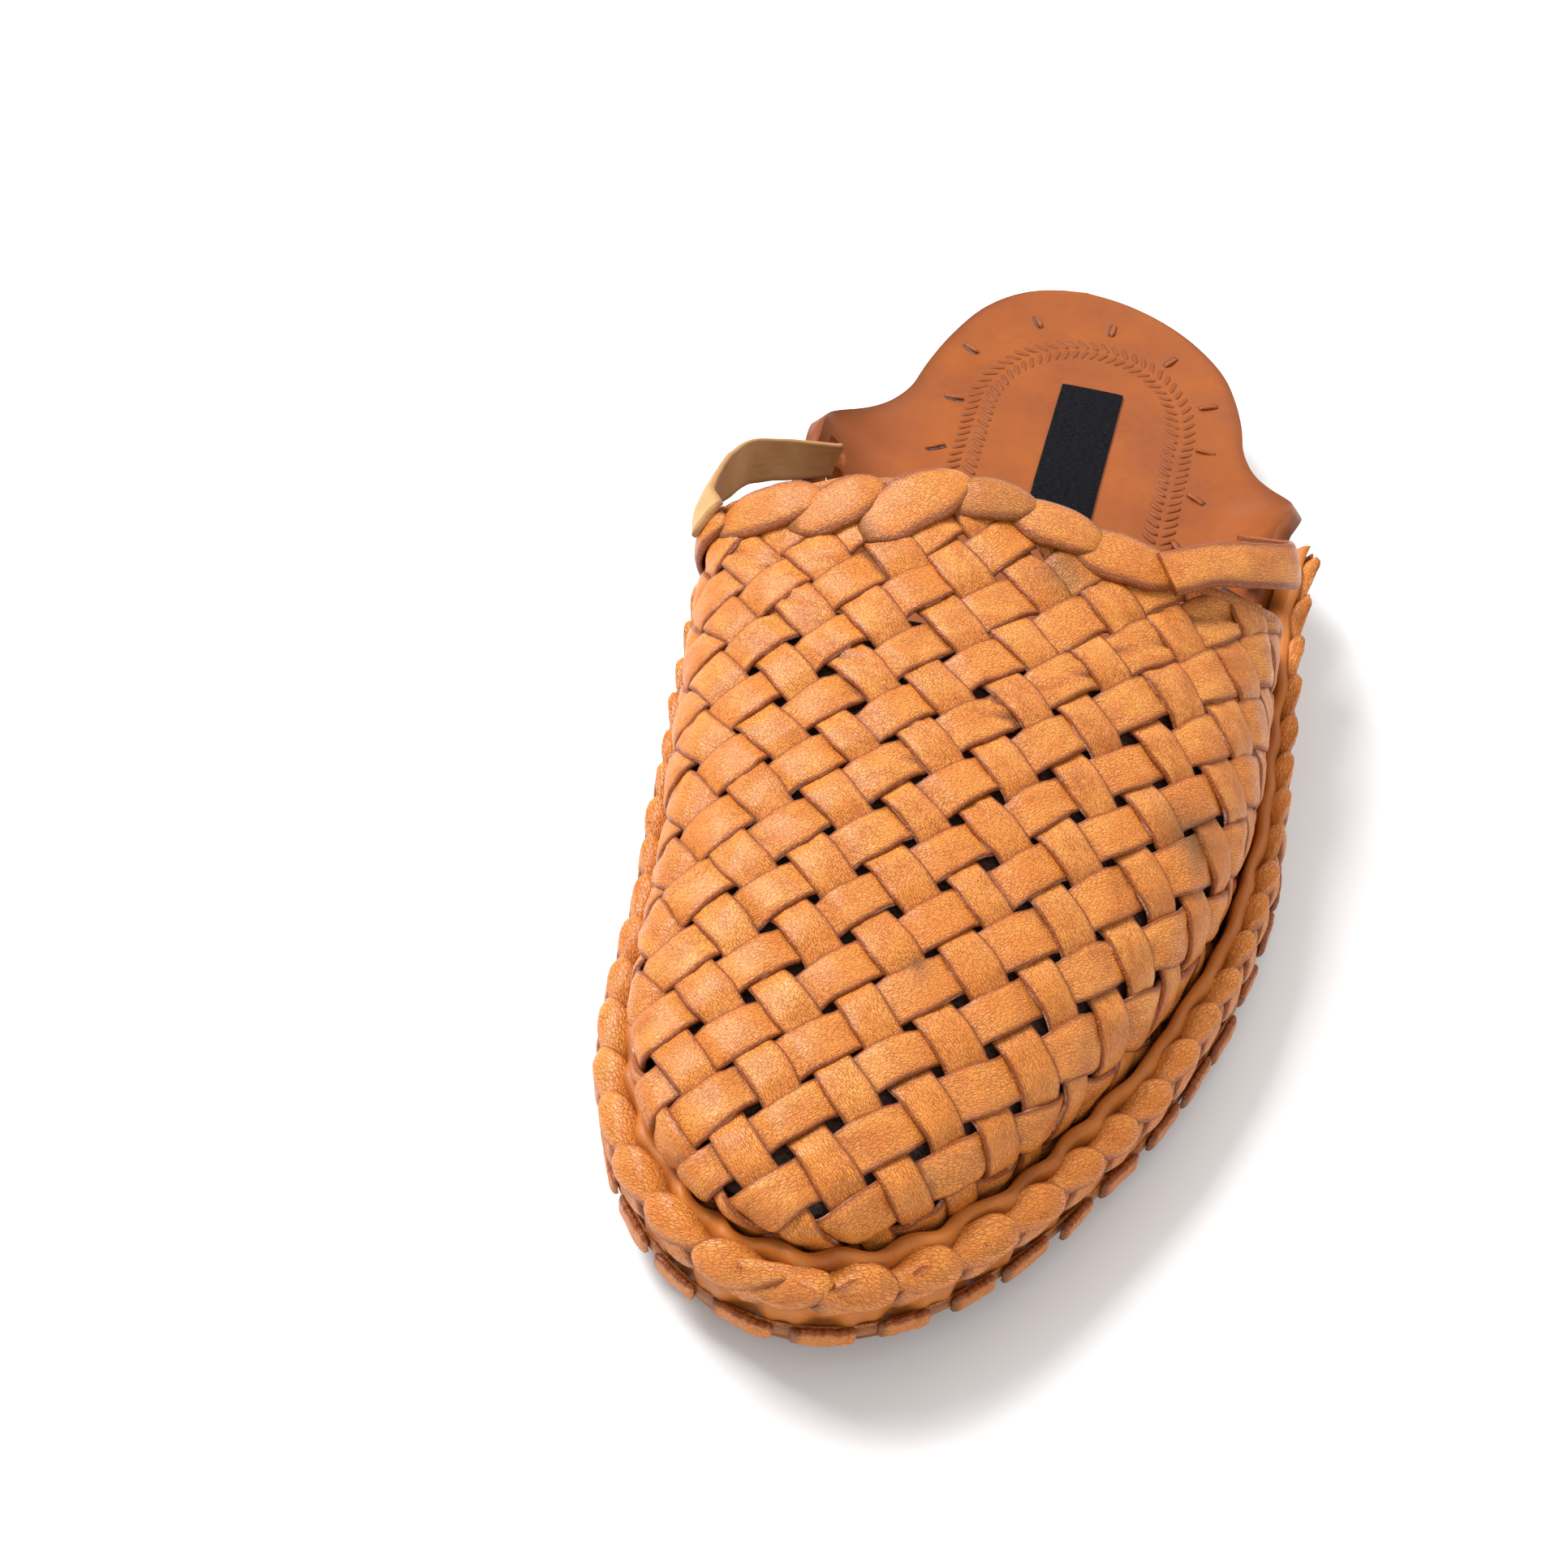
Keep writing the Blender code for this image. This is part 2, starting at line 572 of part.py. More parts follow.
def woven_panel(border, shown_border, open_border):
    """Flat plain weave as one closed mesh, laid at 45 degrees to the panel.

    Each crossing is one raised cell. Between crossings a strip slopes down and dives under the
    next one where it shows, and the square hole at each corner is cut through where it lies
    well inside.
    """
    reach = np.abs(border).max() * math.sqrt(2)
    count = int(reach / RISING_PITCH) + 1
    first, last = -2 * count, 2 * count + 1
    shape = bmesh.new()
    corners = {}
    dips = {}
    diagonal = math.sqrt(0.5)

    def flat(a, b, height):
        x = (a + b) * diagonal + WEAVE_SHIFT[0]
        y = (a - b) * -diagonal + WEAVE_SHIFT[1]
        return Vector((x, -y, height))

    def corner(m, n, top):
        key = (m, n, top)
        if key not in corners:
            height = WALL_OUTSIDE if top else -WALL_INSIDE
            corners[key] = shape.verts.new(flat(falling_line(m), rising_line(n), height))
        return corners[key]

    def dip(m, n, along_a):
        """Low point on a strip's side, where it dives under the next one: none where it is hidden."""
        key = (m, n, along_a)
        if key not in dips:
            step, strip = (m, n // 2) if along_a else (n, m // 2)
            under_next = (step // 2 + 1 + strip) % 2 == (1 if along_a else 0)
            line = falling_line if along_a else rising_line
            place = line(step + 1) - DIVE if under_next else line(step) + DIVE
            where = (place, rising_line(n)) if along_a else (falling_line(m), place)
            low = flat(*where, 0.0)
            dips[key] = [shape.verts.new(low)] if inside(low, shown_border) else []
        return dips[key]

    def wall(m, n, m2, n2):
        """Upright face between two corners, with the strip's low point on its top edge."""
        ring = [corner(m, n, True)]
        low, high = min(m, m2), min(n, n2)
        if n == n2 and low % 2:
            ring += dip(low, n, True)
        if m == m2 and high % 2:
            ring += dip(m, high, False)
        ring += [corner(m2, n2, True), corner(m2, n2, False), corner(m, n, False)]
        shape.faces.new(ring)

    def slope(start, near, end, far):
        """Top of a strip between two crossings, folded from its near low point to its far one."""
        if near and far:
            shape.faces.new([start[0], near[0], far[0], start[1]])
            shape.faces.new([near[0], end[0], end[1], far[0]])
        else:
            shape.faces.new([start[0], *near, end[0], end[1], *far, start[1]])

    for m in range(first, last):
        for n in range(first, last):
            quad = [(m, n), (m + 1, n), (m + 1, n + 1), (m, n + 1)]
            top = [corner(*place, True) for place in quad]
            gap_a, gap_b = m % 2, n % 2
            if gap_a and gap_b:
                centre = flat(falling_line(m) / 2 + falling_line(m + 1) / 2,
                              rising_line(n) / 2 + rising_line(n + 1) / 2, 0)
                if inside(centre, open_border):
                    for one, two in zip(quad, quad[1:] + quad[:1]):
                        wall(*one, *two)
                    continue
                shape.faces.new([top[0], *dip(m, n, True), top[1], *dip(m + 1, n, False),
                                 top[2], *dip(m, n + 1, True), top[3], *dip(m, n, False)])
            elif gap_a:
                slope((top[0], top[3]), dip(m, n, True), (top[1], top[2]), dip(m, n + 1, True))
            elif gap_b:
                slope((top[1], top[0]), dip(m + 1, n, False), (top[2], top[3]), dip(m, n, False))
            else:
                shape.faces.new(top)
            shape.faces.new([corner(*place, False) for place in reversed(quad)])
    for k in range(first, last):
        wall(k, first, k + 1, first)
        wall(k, last, k + 1, last)
        wall(first, k, first, k + 1)
        wall(last, k, last, k + 1)
    folded = [face for face in shape.faces if len(face.verts) > 4]
    bmesh.ops.triangulate(shape, faces=folded)
    bmesh.ops.recalc_face_normals(shape, faces=shape.faces)
    mesh = bpy.data.meshes.new("woven_panel")
    shape.to_mesh(mesh)
    shape.free()
    return mesh


def inside(point, border):
    """Whether a flat point lies inside a closed outline."""
    x, y = border[:, 0], border[:, 1]
    x2, y2 = np.roll(x, -1), np.roll(y, -1)
    crosses = (y > point[1]) != (y2 > point[1])
    at = x + (point[1] - y) * (x2 - x) / np.where(crosses, y2 - y, 1)
    return bool((crosses & (point[0] < at)).sum() % 2)


def outline_prism(border):
    """Upright block with the panel's outline, to trim the flat weave."""
    count = len(border)
    low = [(x, y, -TRIM_HALF) for x, y in border]
    high = [(x, y, TRIM_HALF) for x, y in border]
    sides = [(k, (k + 1) % count, count + (k + 1) % count, count + k) for k in range(count)]
    ends = [tuple(reversed(range(count))), tuple(range(count, 2 * count))]
    mesh = bpy.data.meshes.new("prism")
    mesh.from_pydata(low + high, [], ends + sides)
    return bpy.data.objects.new("prism", mesh)


def make_upper(vamp, collection):
    """Woven vamp: the flat weave cut to the panel's outline and formed over the last."""
    border = vamp.flat_outline()
    shown_border = vamp.flat_outline(tucked=False)
    middle = np.array([0.0, border[:, 1].mean()])
    open_border = middle + (border - middle) * OPEN_SHARE - np.array([0.0, OPEN_TOEWARD])
    panel = bpy.data.objects.new("panel", woven_panel(border, shown_border, open_border))
    prism = outline_prism(border)
    for thing in (panel, prism):
        collection.objects.link(thing)
    cut = panel.modifiers.new("trim", "BOOLEAN")
    cut.operation = "INTERSECT"
    cut.object = prism
    evaluated = panel.evaluated_get(bpy.context.evaluated_depsgraph_get())
    mesh = bpy.data.meshes.new_from_object(evaluated)
    for thing in (panel, prism):
        bpy.data.objects.remove(thing)
    shape = bmesh.new()
    shape.from_mesh(mesh)
    bmesh.ops.remove_doubles(shape, verts=shape.verts, dist=WELD)
    shape.to_mesh(mesh)
    shape.free()
    flat = np.empty(len(mesh.vertices) * 3)
    mesh.vertices.foreach_get("co", flat)
    flat = flat.reshape(-1, 3)
    height = flat[:, 2] + collar_fold(vamp, flat)
    formed = vamp.lift(flat[:, 0], flat[:, 1], height)
    mesh.vertices.foreach_set("co", formed.ravel())
    mesh.name = "upper"
    return add_object("upper", mesh, STRIP_LEATHER, collection)


def collar_fold(vamp, flat):
    """Extra height of the outer side where the strips fold back at the collar."""
    curve = vamp.collar(np.linspace(-1, 1, 201))
    line = np.interp(flat[:, 0], curve[:, 0], curve[:, 1])
    near = np.clip(1 - (line - flat[:, 1]) / COLLAR_FOLD_WIDTH, 0, 1)
    side_end = np.abs(vamp.collar(np.array([-COLLAR_FOLD_END, COLLAR_FOLD_END]))[:, 0])
    limit = np.where(flat[:, 0] < 0, side_end[0], side_end[1])
    near = near * np.clip((limit - np.abs(flat[:, 0])) / COLLAR_FOLD_WIDTH, 0, 1)
    return np.where(flat[:, 2] > -WALL_INSIDE / 2, COLLAR_FOLD * np.minimum(near * 2, 1), 0)


def ring_section(w, corners):
    """Closed section at each station, from (out, up) pairs that may vary along the edge."""
    return np.stack([edge(w, out + 0 * w, up + 0 * w, LATERAL_END) for out, up in corners], axis=1)


def link_stations():
    """A few stations for each link of the braid."""
    _, length = edge_stations(2)
    return edge_stations(len(LINK_RISE) * round(length / LINK_PITCH) + 1)


def make_rand(collection):
    """Strip standing on edge round the weave, its top gently waved."""
    w, length = link_stations()
    along = np.linspace(0, length, len(w))
    wave = RAND_WAVE * np.sin(2 * math.pi * along / RAND_WAVE_LENGTH)
    inner, outer = RAND_OUT - RAND_THICK / 2, RAND_OUT + RAND_THICK / 2
    corners = ((inner, GAP), (outer, GAP), (outer, RAND_TOP + wave), (inner, RAND_TOP + wave))
    return loft("rand", ring_section(w, corners), BAND_LEATHER, collection)


def make_side_band(collection):
    """Smooth band on the sole's edge, below the braid."""
    w, _ = edge_stations(BAND_STATIONS)
    inner, outer = BAND_OUT - BAND_THICK / 2, BAND_OUT + BAND_THICK / 2
    corners = ((inner, GAP), (outer, GAP), (outer, BAND_TOP), (inner, BAND_TOP))
    return loft("side_band", ring_section(w, corners), BAND_LEATHER, collection)


def make_edge_braid(collection):
    """Braid of overlapping links: two rows, half a link apart, each link rising then stepping in."""
    w, _ = link_stations()
    steps = len(LINK_RISE)
    phase = np.arange(len(w)) % steps
    top_row = np.choose(phase, LINK_RISE) * LINK_STEP
    low_row = np.choose((phase + 1) % steps, LINK_RISE) * LINK_STEP
    inner = RAND_OUT + RAND_THICK / 2 + EDGE_GAP
    deep = BRAID_DEPTH * smooth(LATERAL_END * w**2, BRAID_THIN[:, 0], BRAID_THIN[:, 1])
    corners = []
    for depth, height, low_out, top_out, top_up in BRAID_SECTION:
        out = inner + depth * deep + low_out * low_row + top_out * top_row
        up = BRAID_BOTTOM + height * (BRAID_TOP - BRAID_BOTTOM) + top_up * top_row
        corners.append((out, up))
    return loft("edge_braid", ring_section(w, corners), STRIP_LEATHER, collection)


def make_sole_lace(collection):
    """Lace along the sole's edge, flat between its tabs and standing proud at each tab."""
    w_table, length = edge_stations(FINE_STEPS)
    tabs = round(length / TAB_PITCH)
    pitch = length / tabs
    start, end = (pitch - TAB_LENGTH) / 2, (pitch + TAB_LENGTH) / 2
    marks = np.array([start, start + TAB_SLOPE, end - TAB_SLOPE, end])
    along = (np.arange(tabs)[:, None] * pitch + marks).ravel()
    along = np.concatenate([[0.0], along, [length]])
    proud = np.concatenate([[0.0], np.tile([0.0, 1.0, 1.0, 0.0], tabs), [0.0]])
    w = np.interp(along, np.linspace(0, length, FINE_STEPS), w_table)
    inner = BAND_OUT + BAND_THICK / 2 + EDGE_GAP
    outer = inner + LACE_THICK + proud * TAB_PROUD
    top = TAB_HEIGHT * (TAB_LOW + (1 - TAB_LOW) * proud)
    corners = ((inner, GAP), (outer, GAP), (outer, top), (inner, top))
    return loft("sole_lace", ring_section(w, corners), BAND_LEATHER, collection)


def ribbon(name, points, facing, width, thick, finish, collection):
    """Flat strap along a smooth curve through its points, facing the given way at each."""
    knots = np.linspace(0, 1, len(points))
    fine = np.linspace(0, 1, 3 * len(points))
    path = np.stack([smooth(fine, knots, points[:, k]) for k in range(3)], axis=1)
    face = np.stack([smooth(fine, knots, facing[:, k]) for k in range(3)], axis=1)
    run = np.gradient(path, axis=0)
    run /= np.linalg.norm(run, axis=1, keepdims=True)
    across = np.cross(run, face)
    across /= np.linalg.norm(across, axis=1, keepdims=True)
    up = np.cross(across, run)
    pairs = ((-1, -1), (1, -1), (1, 1), (-1, 1))
    rings = [path + across * width / 2 * a + up * thick / 2 * b for a, b in pairs]
    return loft(name, np.stack(rings, axis=1), finish, collection)


def strap(vamp, name, finish, places, collection):
    """Strap from over the collar's edge, past a place behind it, to the inner face of an ear."""
    clear = WALL_OUTSIDE + COLLAR_FOLD + STRAP_THICK / 2 + 4 * GAP
    start, middle, behind, end = places
    leaves = vamp.collar(np.array([start]))[0]
    passes = vamp.collar(np.array([middle]))[0] + np.array([0.0, behind])
    run = (passes - leaves) / np.linalg.norm(passes - leaves)
    points = []
    facing = []
    for flat in (leaves - run * STRAP_LAP, leaves + run * STRAP_LAP / 2, passes):
        across, along = flat[:1], flat[1:]
        here = vamp.lift(across, along, np.array([clear]))[0]
        points.append(here)
        facing.append(vamp.lift(across, along, np.array([clear + 1.0]))[0] - here)
    side = math.copysign(1.0, end)
    w = np.array([side * math.sqrt(abs(end))])
    points.append(edge(w, np.array([STRAP_OUT]), np.array([STRAP_END_UP]))[0])
    facing.append(np.array([side, 0.0, STRAP_LEAN]))
    ribbon(name, np.array(points), np.array(facing), STRAP_WIDTH, STRAP_THICK, finish, collection)


def make_straps(vamp, collection):
    """The pale strap to the medial ear and the free strap to the lateral ear."""
    strap(vamp, "ear_strap", PALE_LEATHER, EAR_STRAP, collection)
    strap(vamp, "collar_strap", STRIP_LEATHER, COLLAR_STRAP, collection)


def make_label(collection):
    """Thin blank patch lying on the heel seat."""
    width, length, thick = LABEL
    across = np.linspace(-width / 2, width / 2, 2)
    along = np.linspace(-length / 2, length / 2, 9)
    x, y = np.meshgrid(across, along)
    turned_x = x * math.cos(LABEL_TURN) - y * math.sin(LABEL_TURN) + LABEL_PLACE[0] * BALL_WIDTH
    turned_y = x * math.sin(LABEL_TURN) + y * math.cos(LABEL_TURN) + (LABEL_PLACE[1] - 0.5) * LENGTH
    seat = underside(turned_y / LENGTH + 0.5) + OUTSOLE + SEAT_GAP + FOOTBED
    grid = np.stack([turned_x, turned_y, seat + EDGE_GAP + thick], axis=-1)
    return sheet("label_patch", grid, thick, PATCH_CLOTH, collection)


def centre_on_origin(objects):
    """Moves the slipper so that the middle of its own box is over the origin."""
    graph = bpy.context.evaluated_depsgraph_get()
    corners = []
    for thing in objects:
        solid = thing.evaluated_get(graph)
        corners += [solid.matrix_world @ Vector(corner) for corner in solid.bound_box]
    box = np.array(corners)
    shift = (box.min(axis=0) + box.max(axis=0)) / 2
    for thing in bpy.data.objects:
        if thing.type == "MESH":
            thing.matrix_world = Matrix.Translation((-shift[0], -shift[1], 0)) @ thing.matrix_world


def main():
    for thing in list(bpy.data.objects):
        bpy.data.objects.remove(thing)
    slipper = bpy.data.collections.new("woven_slipper")
    cutters = bpy.data.collections.new("cutters")
    for group in (slipper, cutters):
        bpy.context.scene.collection.children.link(group)
    vamp = Vamp()
    make_outsole(slipper)
    make_heel_lift(slipper)
    make_footbed(slipper, cutters)
    make_label(slipper)
    make_upper(vamp, slipper)
    make_rand(slipper)
    make_side_band(slipper)
    make_edge_braid(slipper)
    make_sole_lace(slipper)
    make_straps(vamp, slipper)
    centre_on_origin(slipper.objects)


main()
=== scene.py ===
"""The looks of a hand-woven leather slipper for the left foot.

Each piece of the frame is made again as a fine surface: the woven strips, the folded collar, the
wavy rand, the braid, the side band, the lace on the sole's edge, the footbed and the sole.
Metres, +Z up, the toe towards -Y, the medial side towards -X.
"""
import math

import bmesh
import bpy
import numpy as np
from mathutils import Matrix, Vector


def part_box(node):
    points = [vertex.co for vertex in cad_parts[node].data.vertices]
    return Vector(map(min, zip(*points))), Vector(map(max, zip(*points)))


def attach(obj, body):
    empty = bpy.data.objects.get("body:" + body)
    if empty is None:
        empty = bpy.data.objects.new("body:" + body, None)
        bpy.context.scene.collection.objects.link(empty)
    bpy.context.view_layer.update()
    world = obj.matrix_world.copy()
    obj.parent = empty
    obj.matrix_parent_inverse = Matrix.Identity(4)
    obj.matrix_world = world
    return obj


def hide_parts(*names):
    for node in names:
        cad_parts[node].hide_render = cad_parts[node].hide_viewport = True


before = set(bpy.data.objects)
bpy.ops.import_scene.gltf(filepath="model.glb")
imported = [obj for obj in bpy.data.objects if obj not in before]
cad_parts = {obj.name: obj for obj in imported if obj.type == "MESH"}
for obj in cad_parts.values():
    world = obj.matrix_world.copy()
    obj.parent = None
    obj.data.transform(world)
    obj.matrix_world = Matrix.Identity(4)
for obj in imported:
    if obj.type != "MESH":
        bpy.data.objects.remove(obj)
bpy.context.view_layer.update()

# Driving sizes of the slipper, as in the frame
LENGTH = 0.272
BALL_WIDTH = 0.104
HEEL_WIDTH = 0.070
TOE_SPRING = 0.005
HEEL_RISE = 0.013
OUTSOLE = 0.004
FOOTBED = 0.0035
INSTEP = 0.0375
GAP = 0.0003
EDGE_GAP = 0.0006
SEAT_GAP = 0.0005
WALL_CLEAR = 0.0016
TUCK_CLEAR = 0.0012
HEEL_STRAIGHT = 0.82
HEEL_BREAST = 0.715
LIFT_INSET = 0.0007
FOOTBED_START = 0.036
RIM_UP = 0.016
UPPER_OUT = -0.0059
RAND_OUT = -0.0022
RAND_THICK = 0.0024
RAND_TOP = 0.0166
BAND_OUT = 0.0007
BAND_THICK = 0.0020
BAND_TOP = 0.0095
BRAID_BOTTOM = 0.0099
BRAID_TOP = 0.0158
BRAID_DEPTH = 0.0046
TAB_PITCH = 0.0125
TAB_LENGTH = 0.0095
TAB_HEIGHT = 0.0042
TAB_PROUD = 0.0016
MEDIAL_END = 0.60
LATERAL_END = 0.67
WALL_INSIDE = 0.0012
WALL_OUTSIDE = 0.0014
COLLAR_FOLD = 0.0011

# The weave
RISING_PITCH = 0.00955
FALLING_PITCH = 0.00985
RISING_WIDTH = 0.0077
FALLING_WIDTH = 0.0081
STRIP_THICK = 0.0012
STRIP_RISE = 0.0008
STRIP_CROWN = 0.00038
STRIP_STEP = 0.0008
WEAVE_SHIFT = (0.0062, -0.0012)
DIAGONAL = math.sqrt(0.5)

# The sole's plan: share of the length from the toe, centre as a share of the ball width,
# and width from the heel's (0) to the ball's (1)
PLAN = np.array([
    (0.00, -0.092, 0.385),
    (0.06, -0.088, 0.440),
    (0.13, -0.070, 0.520),
    (0.22, -0.030, 0.690),
    (0.33, 0.001, 1.020),
    (0.42, 0.011, 1.105),
    (0.51, 0.004, 1.000),
    (0.60, -0.002, 0.665),
    (0.70, -0.004, 0.180),
    (0.78, -0.002, 0.060),
    (0.85, 0.002, 0.020),
    (0.91, -0.002, 0.000),
    (0.96, -0.022, 0.000),
    (1.00, -0.048, 0.000),
])
TOE_ROUND = 0.25
HEEL_ROUND = 0.16

# The sole's underside: share of the length, share of the toe spring, share of the heel rise
PROFILE = np.array([
    (0.00, 1.00, 0.00),
    (0.05, 0.58, 0.00),
    (0.10, 0.26, 0.00),
    (0.15, 0.07, 0.00),
    (0.20, 0.00, 0.00),
    (0.42, 0.00, 0.00),
    (0.50, 0.00, 0.07),
    (0.58, 0.00, 0.33),
    (0.66, 0.00, 0.71),
    (0.72, 0.00, 0.94),
    (0.76, 0.00, 1.00),
    (1.00, 0.00, 1.00),
])

# How far the side leans out at the rim, as shares of the heel width: medial, lateral
FLARE = np.array([
    (0.00, 0.00, 0.00),
    (0.25, 0.00, 0.00),
    (0.36, 0.04, 0.00),
    (0.48, 0.11, 0.02),
    (0.60, 0.20, 0.10),
    (0.68, 0.25, 0.21),
    (0.74, 0.27, 0.26),
    (0.79, 0.17, 0.17),
    (0.84, 0.04, 0.04),
    (0.90, 0.00, 0.00),
    (1.00, 0.00, 0.00),
])

# The crown of the vamp: share of the length, height as a share of the instep,
# and its sideways place as a share of the ball width
CROWN = np.array([
    (0.00, 0.36, -0.045),
    (0.08, 0.45, -0.045),
    (0.17, 0.55, -0.045),
    (0.27, 0.68, -0.060),
    (0.37, 0.80, -0.080),
    (0.47, 0.92, -0.100),
    (0.55, 1.00, -0.115),
    (0.72, 1.12, -0.120),
])
TOE_CENTRE = 0.17
VAMP_FULLNESS = 2.5
VAMP_BULGE = (0.21, 0.06)
BULGE_BLEND = 0.5
BULGE_PEAK = 6.75
SPINE_STRETCH = 1.05
RIB_REACH = 0.78

# The collar: place across from the medial rim (-1) over the crown (0) to the lateral rim (1),
# and the share of the length
COLLAR = np.array([
    (-1.00, 0.575),
    (-0.88, 0.560),
    (-0.70, 0.542),
    (-0.45, 0.538),
    (-0.20, 0.546),
    (0.00, 0.546),
    (0.22, 0.535),
    (0.45, 0.530),
    (0.65, 0.541),
    (0.85, 0.572),
    (1.00, 0.590),
])

# The footbed's edge: share of the length, how far in from the sole's edge (1 is just inside
# the woven wall), and how far it curls up at the ears, as a share of the rim's height
FOOTBED_EDGE = np.array([
    (0.000, 1.00, 0.00),
    (0.555, 1.00, 0.00),
    (0.585, 0.96, 0.08),
    (0.605, 1.0, 0.46),
    (0.630, 1.08, 0.72),
    (0.690, 1.08, 0.84),
    (0.715, 0.8, 0.74),
    (0.745, 0.18, 0.46),
    (0.775, 0.04, 0.24),
    (0.805, 0.00, 0.09),
    (0.840, 0.00, 0.02),
    (0.880, 0.00, 0.00),
    (1.000, 0.00, 0.00),
])
FOOTBED_INSET = 0.0004
FOOTBED_FLAT = 0.66
FOOTBED_CURL = 2.0
EAR_HOLE = 0.0052
EAR_HOLE_TURN = math.radians(72)
EAR_HOLES = ((0.700, -0.93), (0.675, -0.90))

# The braid's depth: share of the length, share of its full depth
BRAID_THIN = np.array([
    (0.00, 1.00),
    (0.18, 0.95),
    (0.34, 0.60),
    (0.50, 0.45),
    (1.00, 0.45),
])

# The folded strips of the collar, on the flat vamp in millimetres: from across and along,
# to across and along, width, and how brown they are
COLLAR_LEAVES = np.array([
    (-66.0, 103.0, -45.5, 100.0, 9.5, 0.05),
    (-48.5, 98.5, -26.5, 102.0, 10.5, 0.10),
    (-33.0, 95.0, -15.5, 104.5, 10.5, 0.15),
    (-18.5, 93.0, -1.0, 110.0, 12.0, 0.05),
    (-6.0, 104.5, 12.5, 106.5, 9.5, 0.45),
    (6.5, 106.0, 25.0, 101.0, 10.5, 0.10),
    (18.0, 101.5, 39.5, 100.0, 11.0, 0.05),
])

# Brown stains on the flat vamp, in millimetres: across, along, radius
STAINS = np.array([
    (18.5, 94.0, 4.5),
    (48.0, 49.5, 5.0),
    (1.0, 108.0, 2.0),
    (4.5, 5.0, 2.0),
])

# The stamped border on the heel seat: middle, half width, rise of its arch, legs and spacing
BORDER_MIDDLE = (0.0012, 0.0890)
BORDER_HALF = 0.0225
BORDER_RISE = 0.0265
BORDER_LEG = 0.040
BORDER_PITCH = 0.0023

# Slits round the heel seat, in millimetres, and the point that they lie towards
BED_SLITS = np.array([
    (-26.6, 106.7),
    (-14.1, 121.1),
    (2.5, 123.4),
    (16.8, 116.1),
    (27.2, 102.8),
    (28.9, 87.3),
    (29.0, 71.2),
    (27.6, 56.0),
    (-26.6, 88.2),
    (-26.8, 70.8),
])
BED_MIDDLE = np.array([1.0, 88.0])

LABEL = (0.0135, 0.050, 0.0007)
LABEL_PLACE = (0.018, 0.776)
LABEL_TURN = -0.01
STRAP_WIDTH = 0.0088
STRAP_THICK = 0.0016
STRAP_OUT = -0.0178
STRAP_LAP = 0.006
STRAP_END_UP = 0.0205
STRAP_LEAN = 0.25
STRAP_SNUG = 0.0024
EAR_STRAP = (-0.70, -0.84, 0.020, -0.672)
COLLAR_STRAP = (0.50, 0.76, 0.011, 0.660)

# Tones of the strip leather, as red, green and blue
STRIP_LIGHT = (0.78, 0.290, 0.050)
STRIP_DEEP = (0.54, 0.150, 0.018)
STRIP_ORANGE = (0.66, 0.190, 0.018)
STRIP_BURNT = (0.27, 0.062, 0.007)
# Painted shade: the colour of a strip where it dives under others, or where a leaf tucks under one
STRIP_PAINTED_SHADE = (0.13, 0.032, 0.006)
STRIP_RAW = (0.70, 0.450, 0.360)
STRIP_STAIN_AND_SHADE = (0.22, 0.080, 0.014)

# The camera: turn about the slipper, height angle, roll, distance and the point looked at
CAMERA_TURN = math.radians(10.75)
CAMERA_RISE = math.radians(46.93)
CAMERA_ROLL = math.radians(4.40)
CAMERA_DISTANCE = 0.4582
CAMERA_TARGET = np.array([-0.03442, -0.03192, 0.020])
CAMERA_ANGLE = math.radians(35.07)
MM = 0.001


def smooth(x, places, values):
    """Monotone cubic through a table: between two rows it never goes past either."""
    x = np.clip(x, places[0], places[-1])
    step = np.diff(places)
    slope = np.diff(values) / step
    same = slope[:-1] * slope[1:] > 0
    total = np.where(same, slope[:-1] + slope[1:], 1.0)
    middle = np.where(same, 2 * slope[:-1] * slope[1:] / total, 0.0)
    ends = np.concatenate([slope[:1], middle, slope[-1:]])
    row = np.clip(np.searchsorted(places, x, side="right") - 1, 0, len(step) - 1)
    width = step[row]
    part = (x - places[row]) / width
    rest = 1 - part
    rise = values[row] * (1 + 2 * part) * rest**2 + values[row + 1] * (3 - 2 * part) * part**2
    return rise + width * part * rest * (ends[row] * rest - ends[row + 1] * part)


def ease(x, low, high):
    """Smooth step: 0 up to low, 1 from high on, and 3x^2 - 2x^3 between."""
    share = np.clip((x - low) / (high - low), 0, 1)
    return share * share * (3 - 2 * share)


def wobble(x, seed, length):
    """Wandering value between -1 and 1: three sines of unlike lengths with seeded phases."""
    phase = np.random.default_rng(seed).uniform(0, 2 * math.pi, 3)
    turn = 2 * math.pi * x / length
    return (0.5 * np.sin(turn + phase[0]) + 0.3 * np.sin(1.7 * turn + phase[1])
            + 0.2 * np.sin(2.9 * turn + phase[2]))


def cap(share):
    """Quarter of an ellipse: 0 at 0, 1 from 1 on."""
    return np.sqrt(1 - (1 - np.clip(share, 0, 1)) ** 2)


def outline(t, side):
    """Sole's edge in plan at share t of the length, on the medial (-1) or lateral (1) side."""
    centre = BALL_WIDTH * smooth(t, PLAN[:, 0], PLAN[:, 1])
    width = HEEL_WIDTH + (BALL_WIDTH - HEEL_WIDTH) * smooth(t, PLAN[:, 0], PLAN[:, 2])
    half = width / 2 * cap(t / TOE_ROUND) * cap((1 - t) / HEEL_ROUND)
    return np.stack([centre + side * half, (t - 0.5) * LENGTH], axis=-1)


def underside(t):
    """Height of the sole leather's underside at share t of the length."""
    spring = smooth(t, PROFILE[:, 0], PROFILE[:, 1])
    rise = smooth(t, PROFILE[:, 0], PROFILE[:, 2])
    return TOE_SPRING * spring + HEEL_RISE * rise


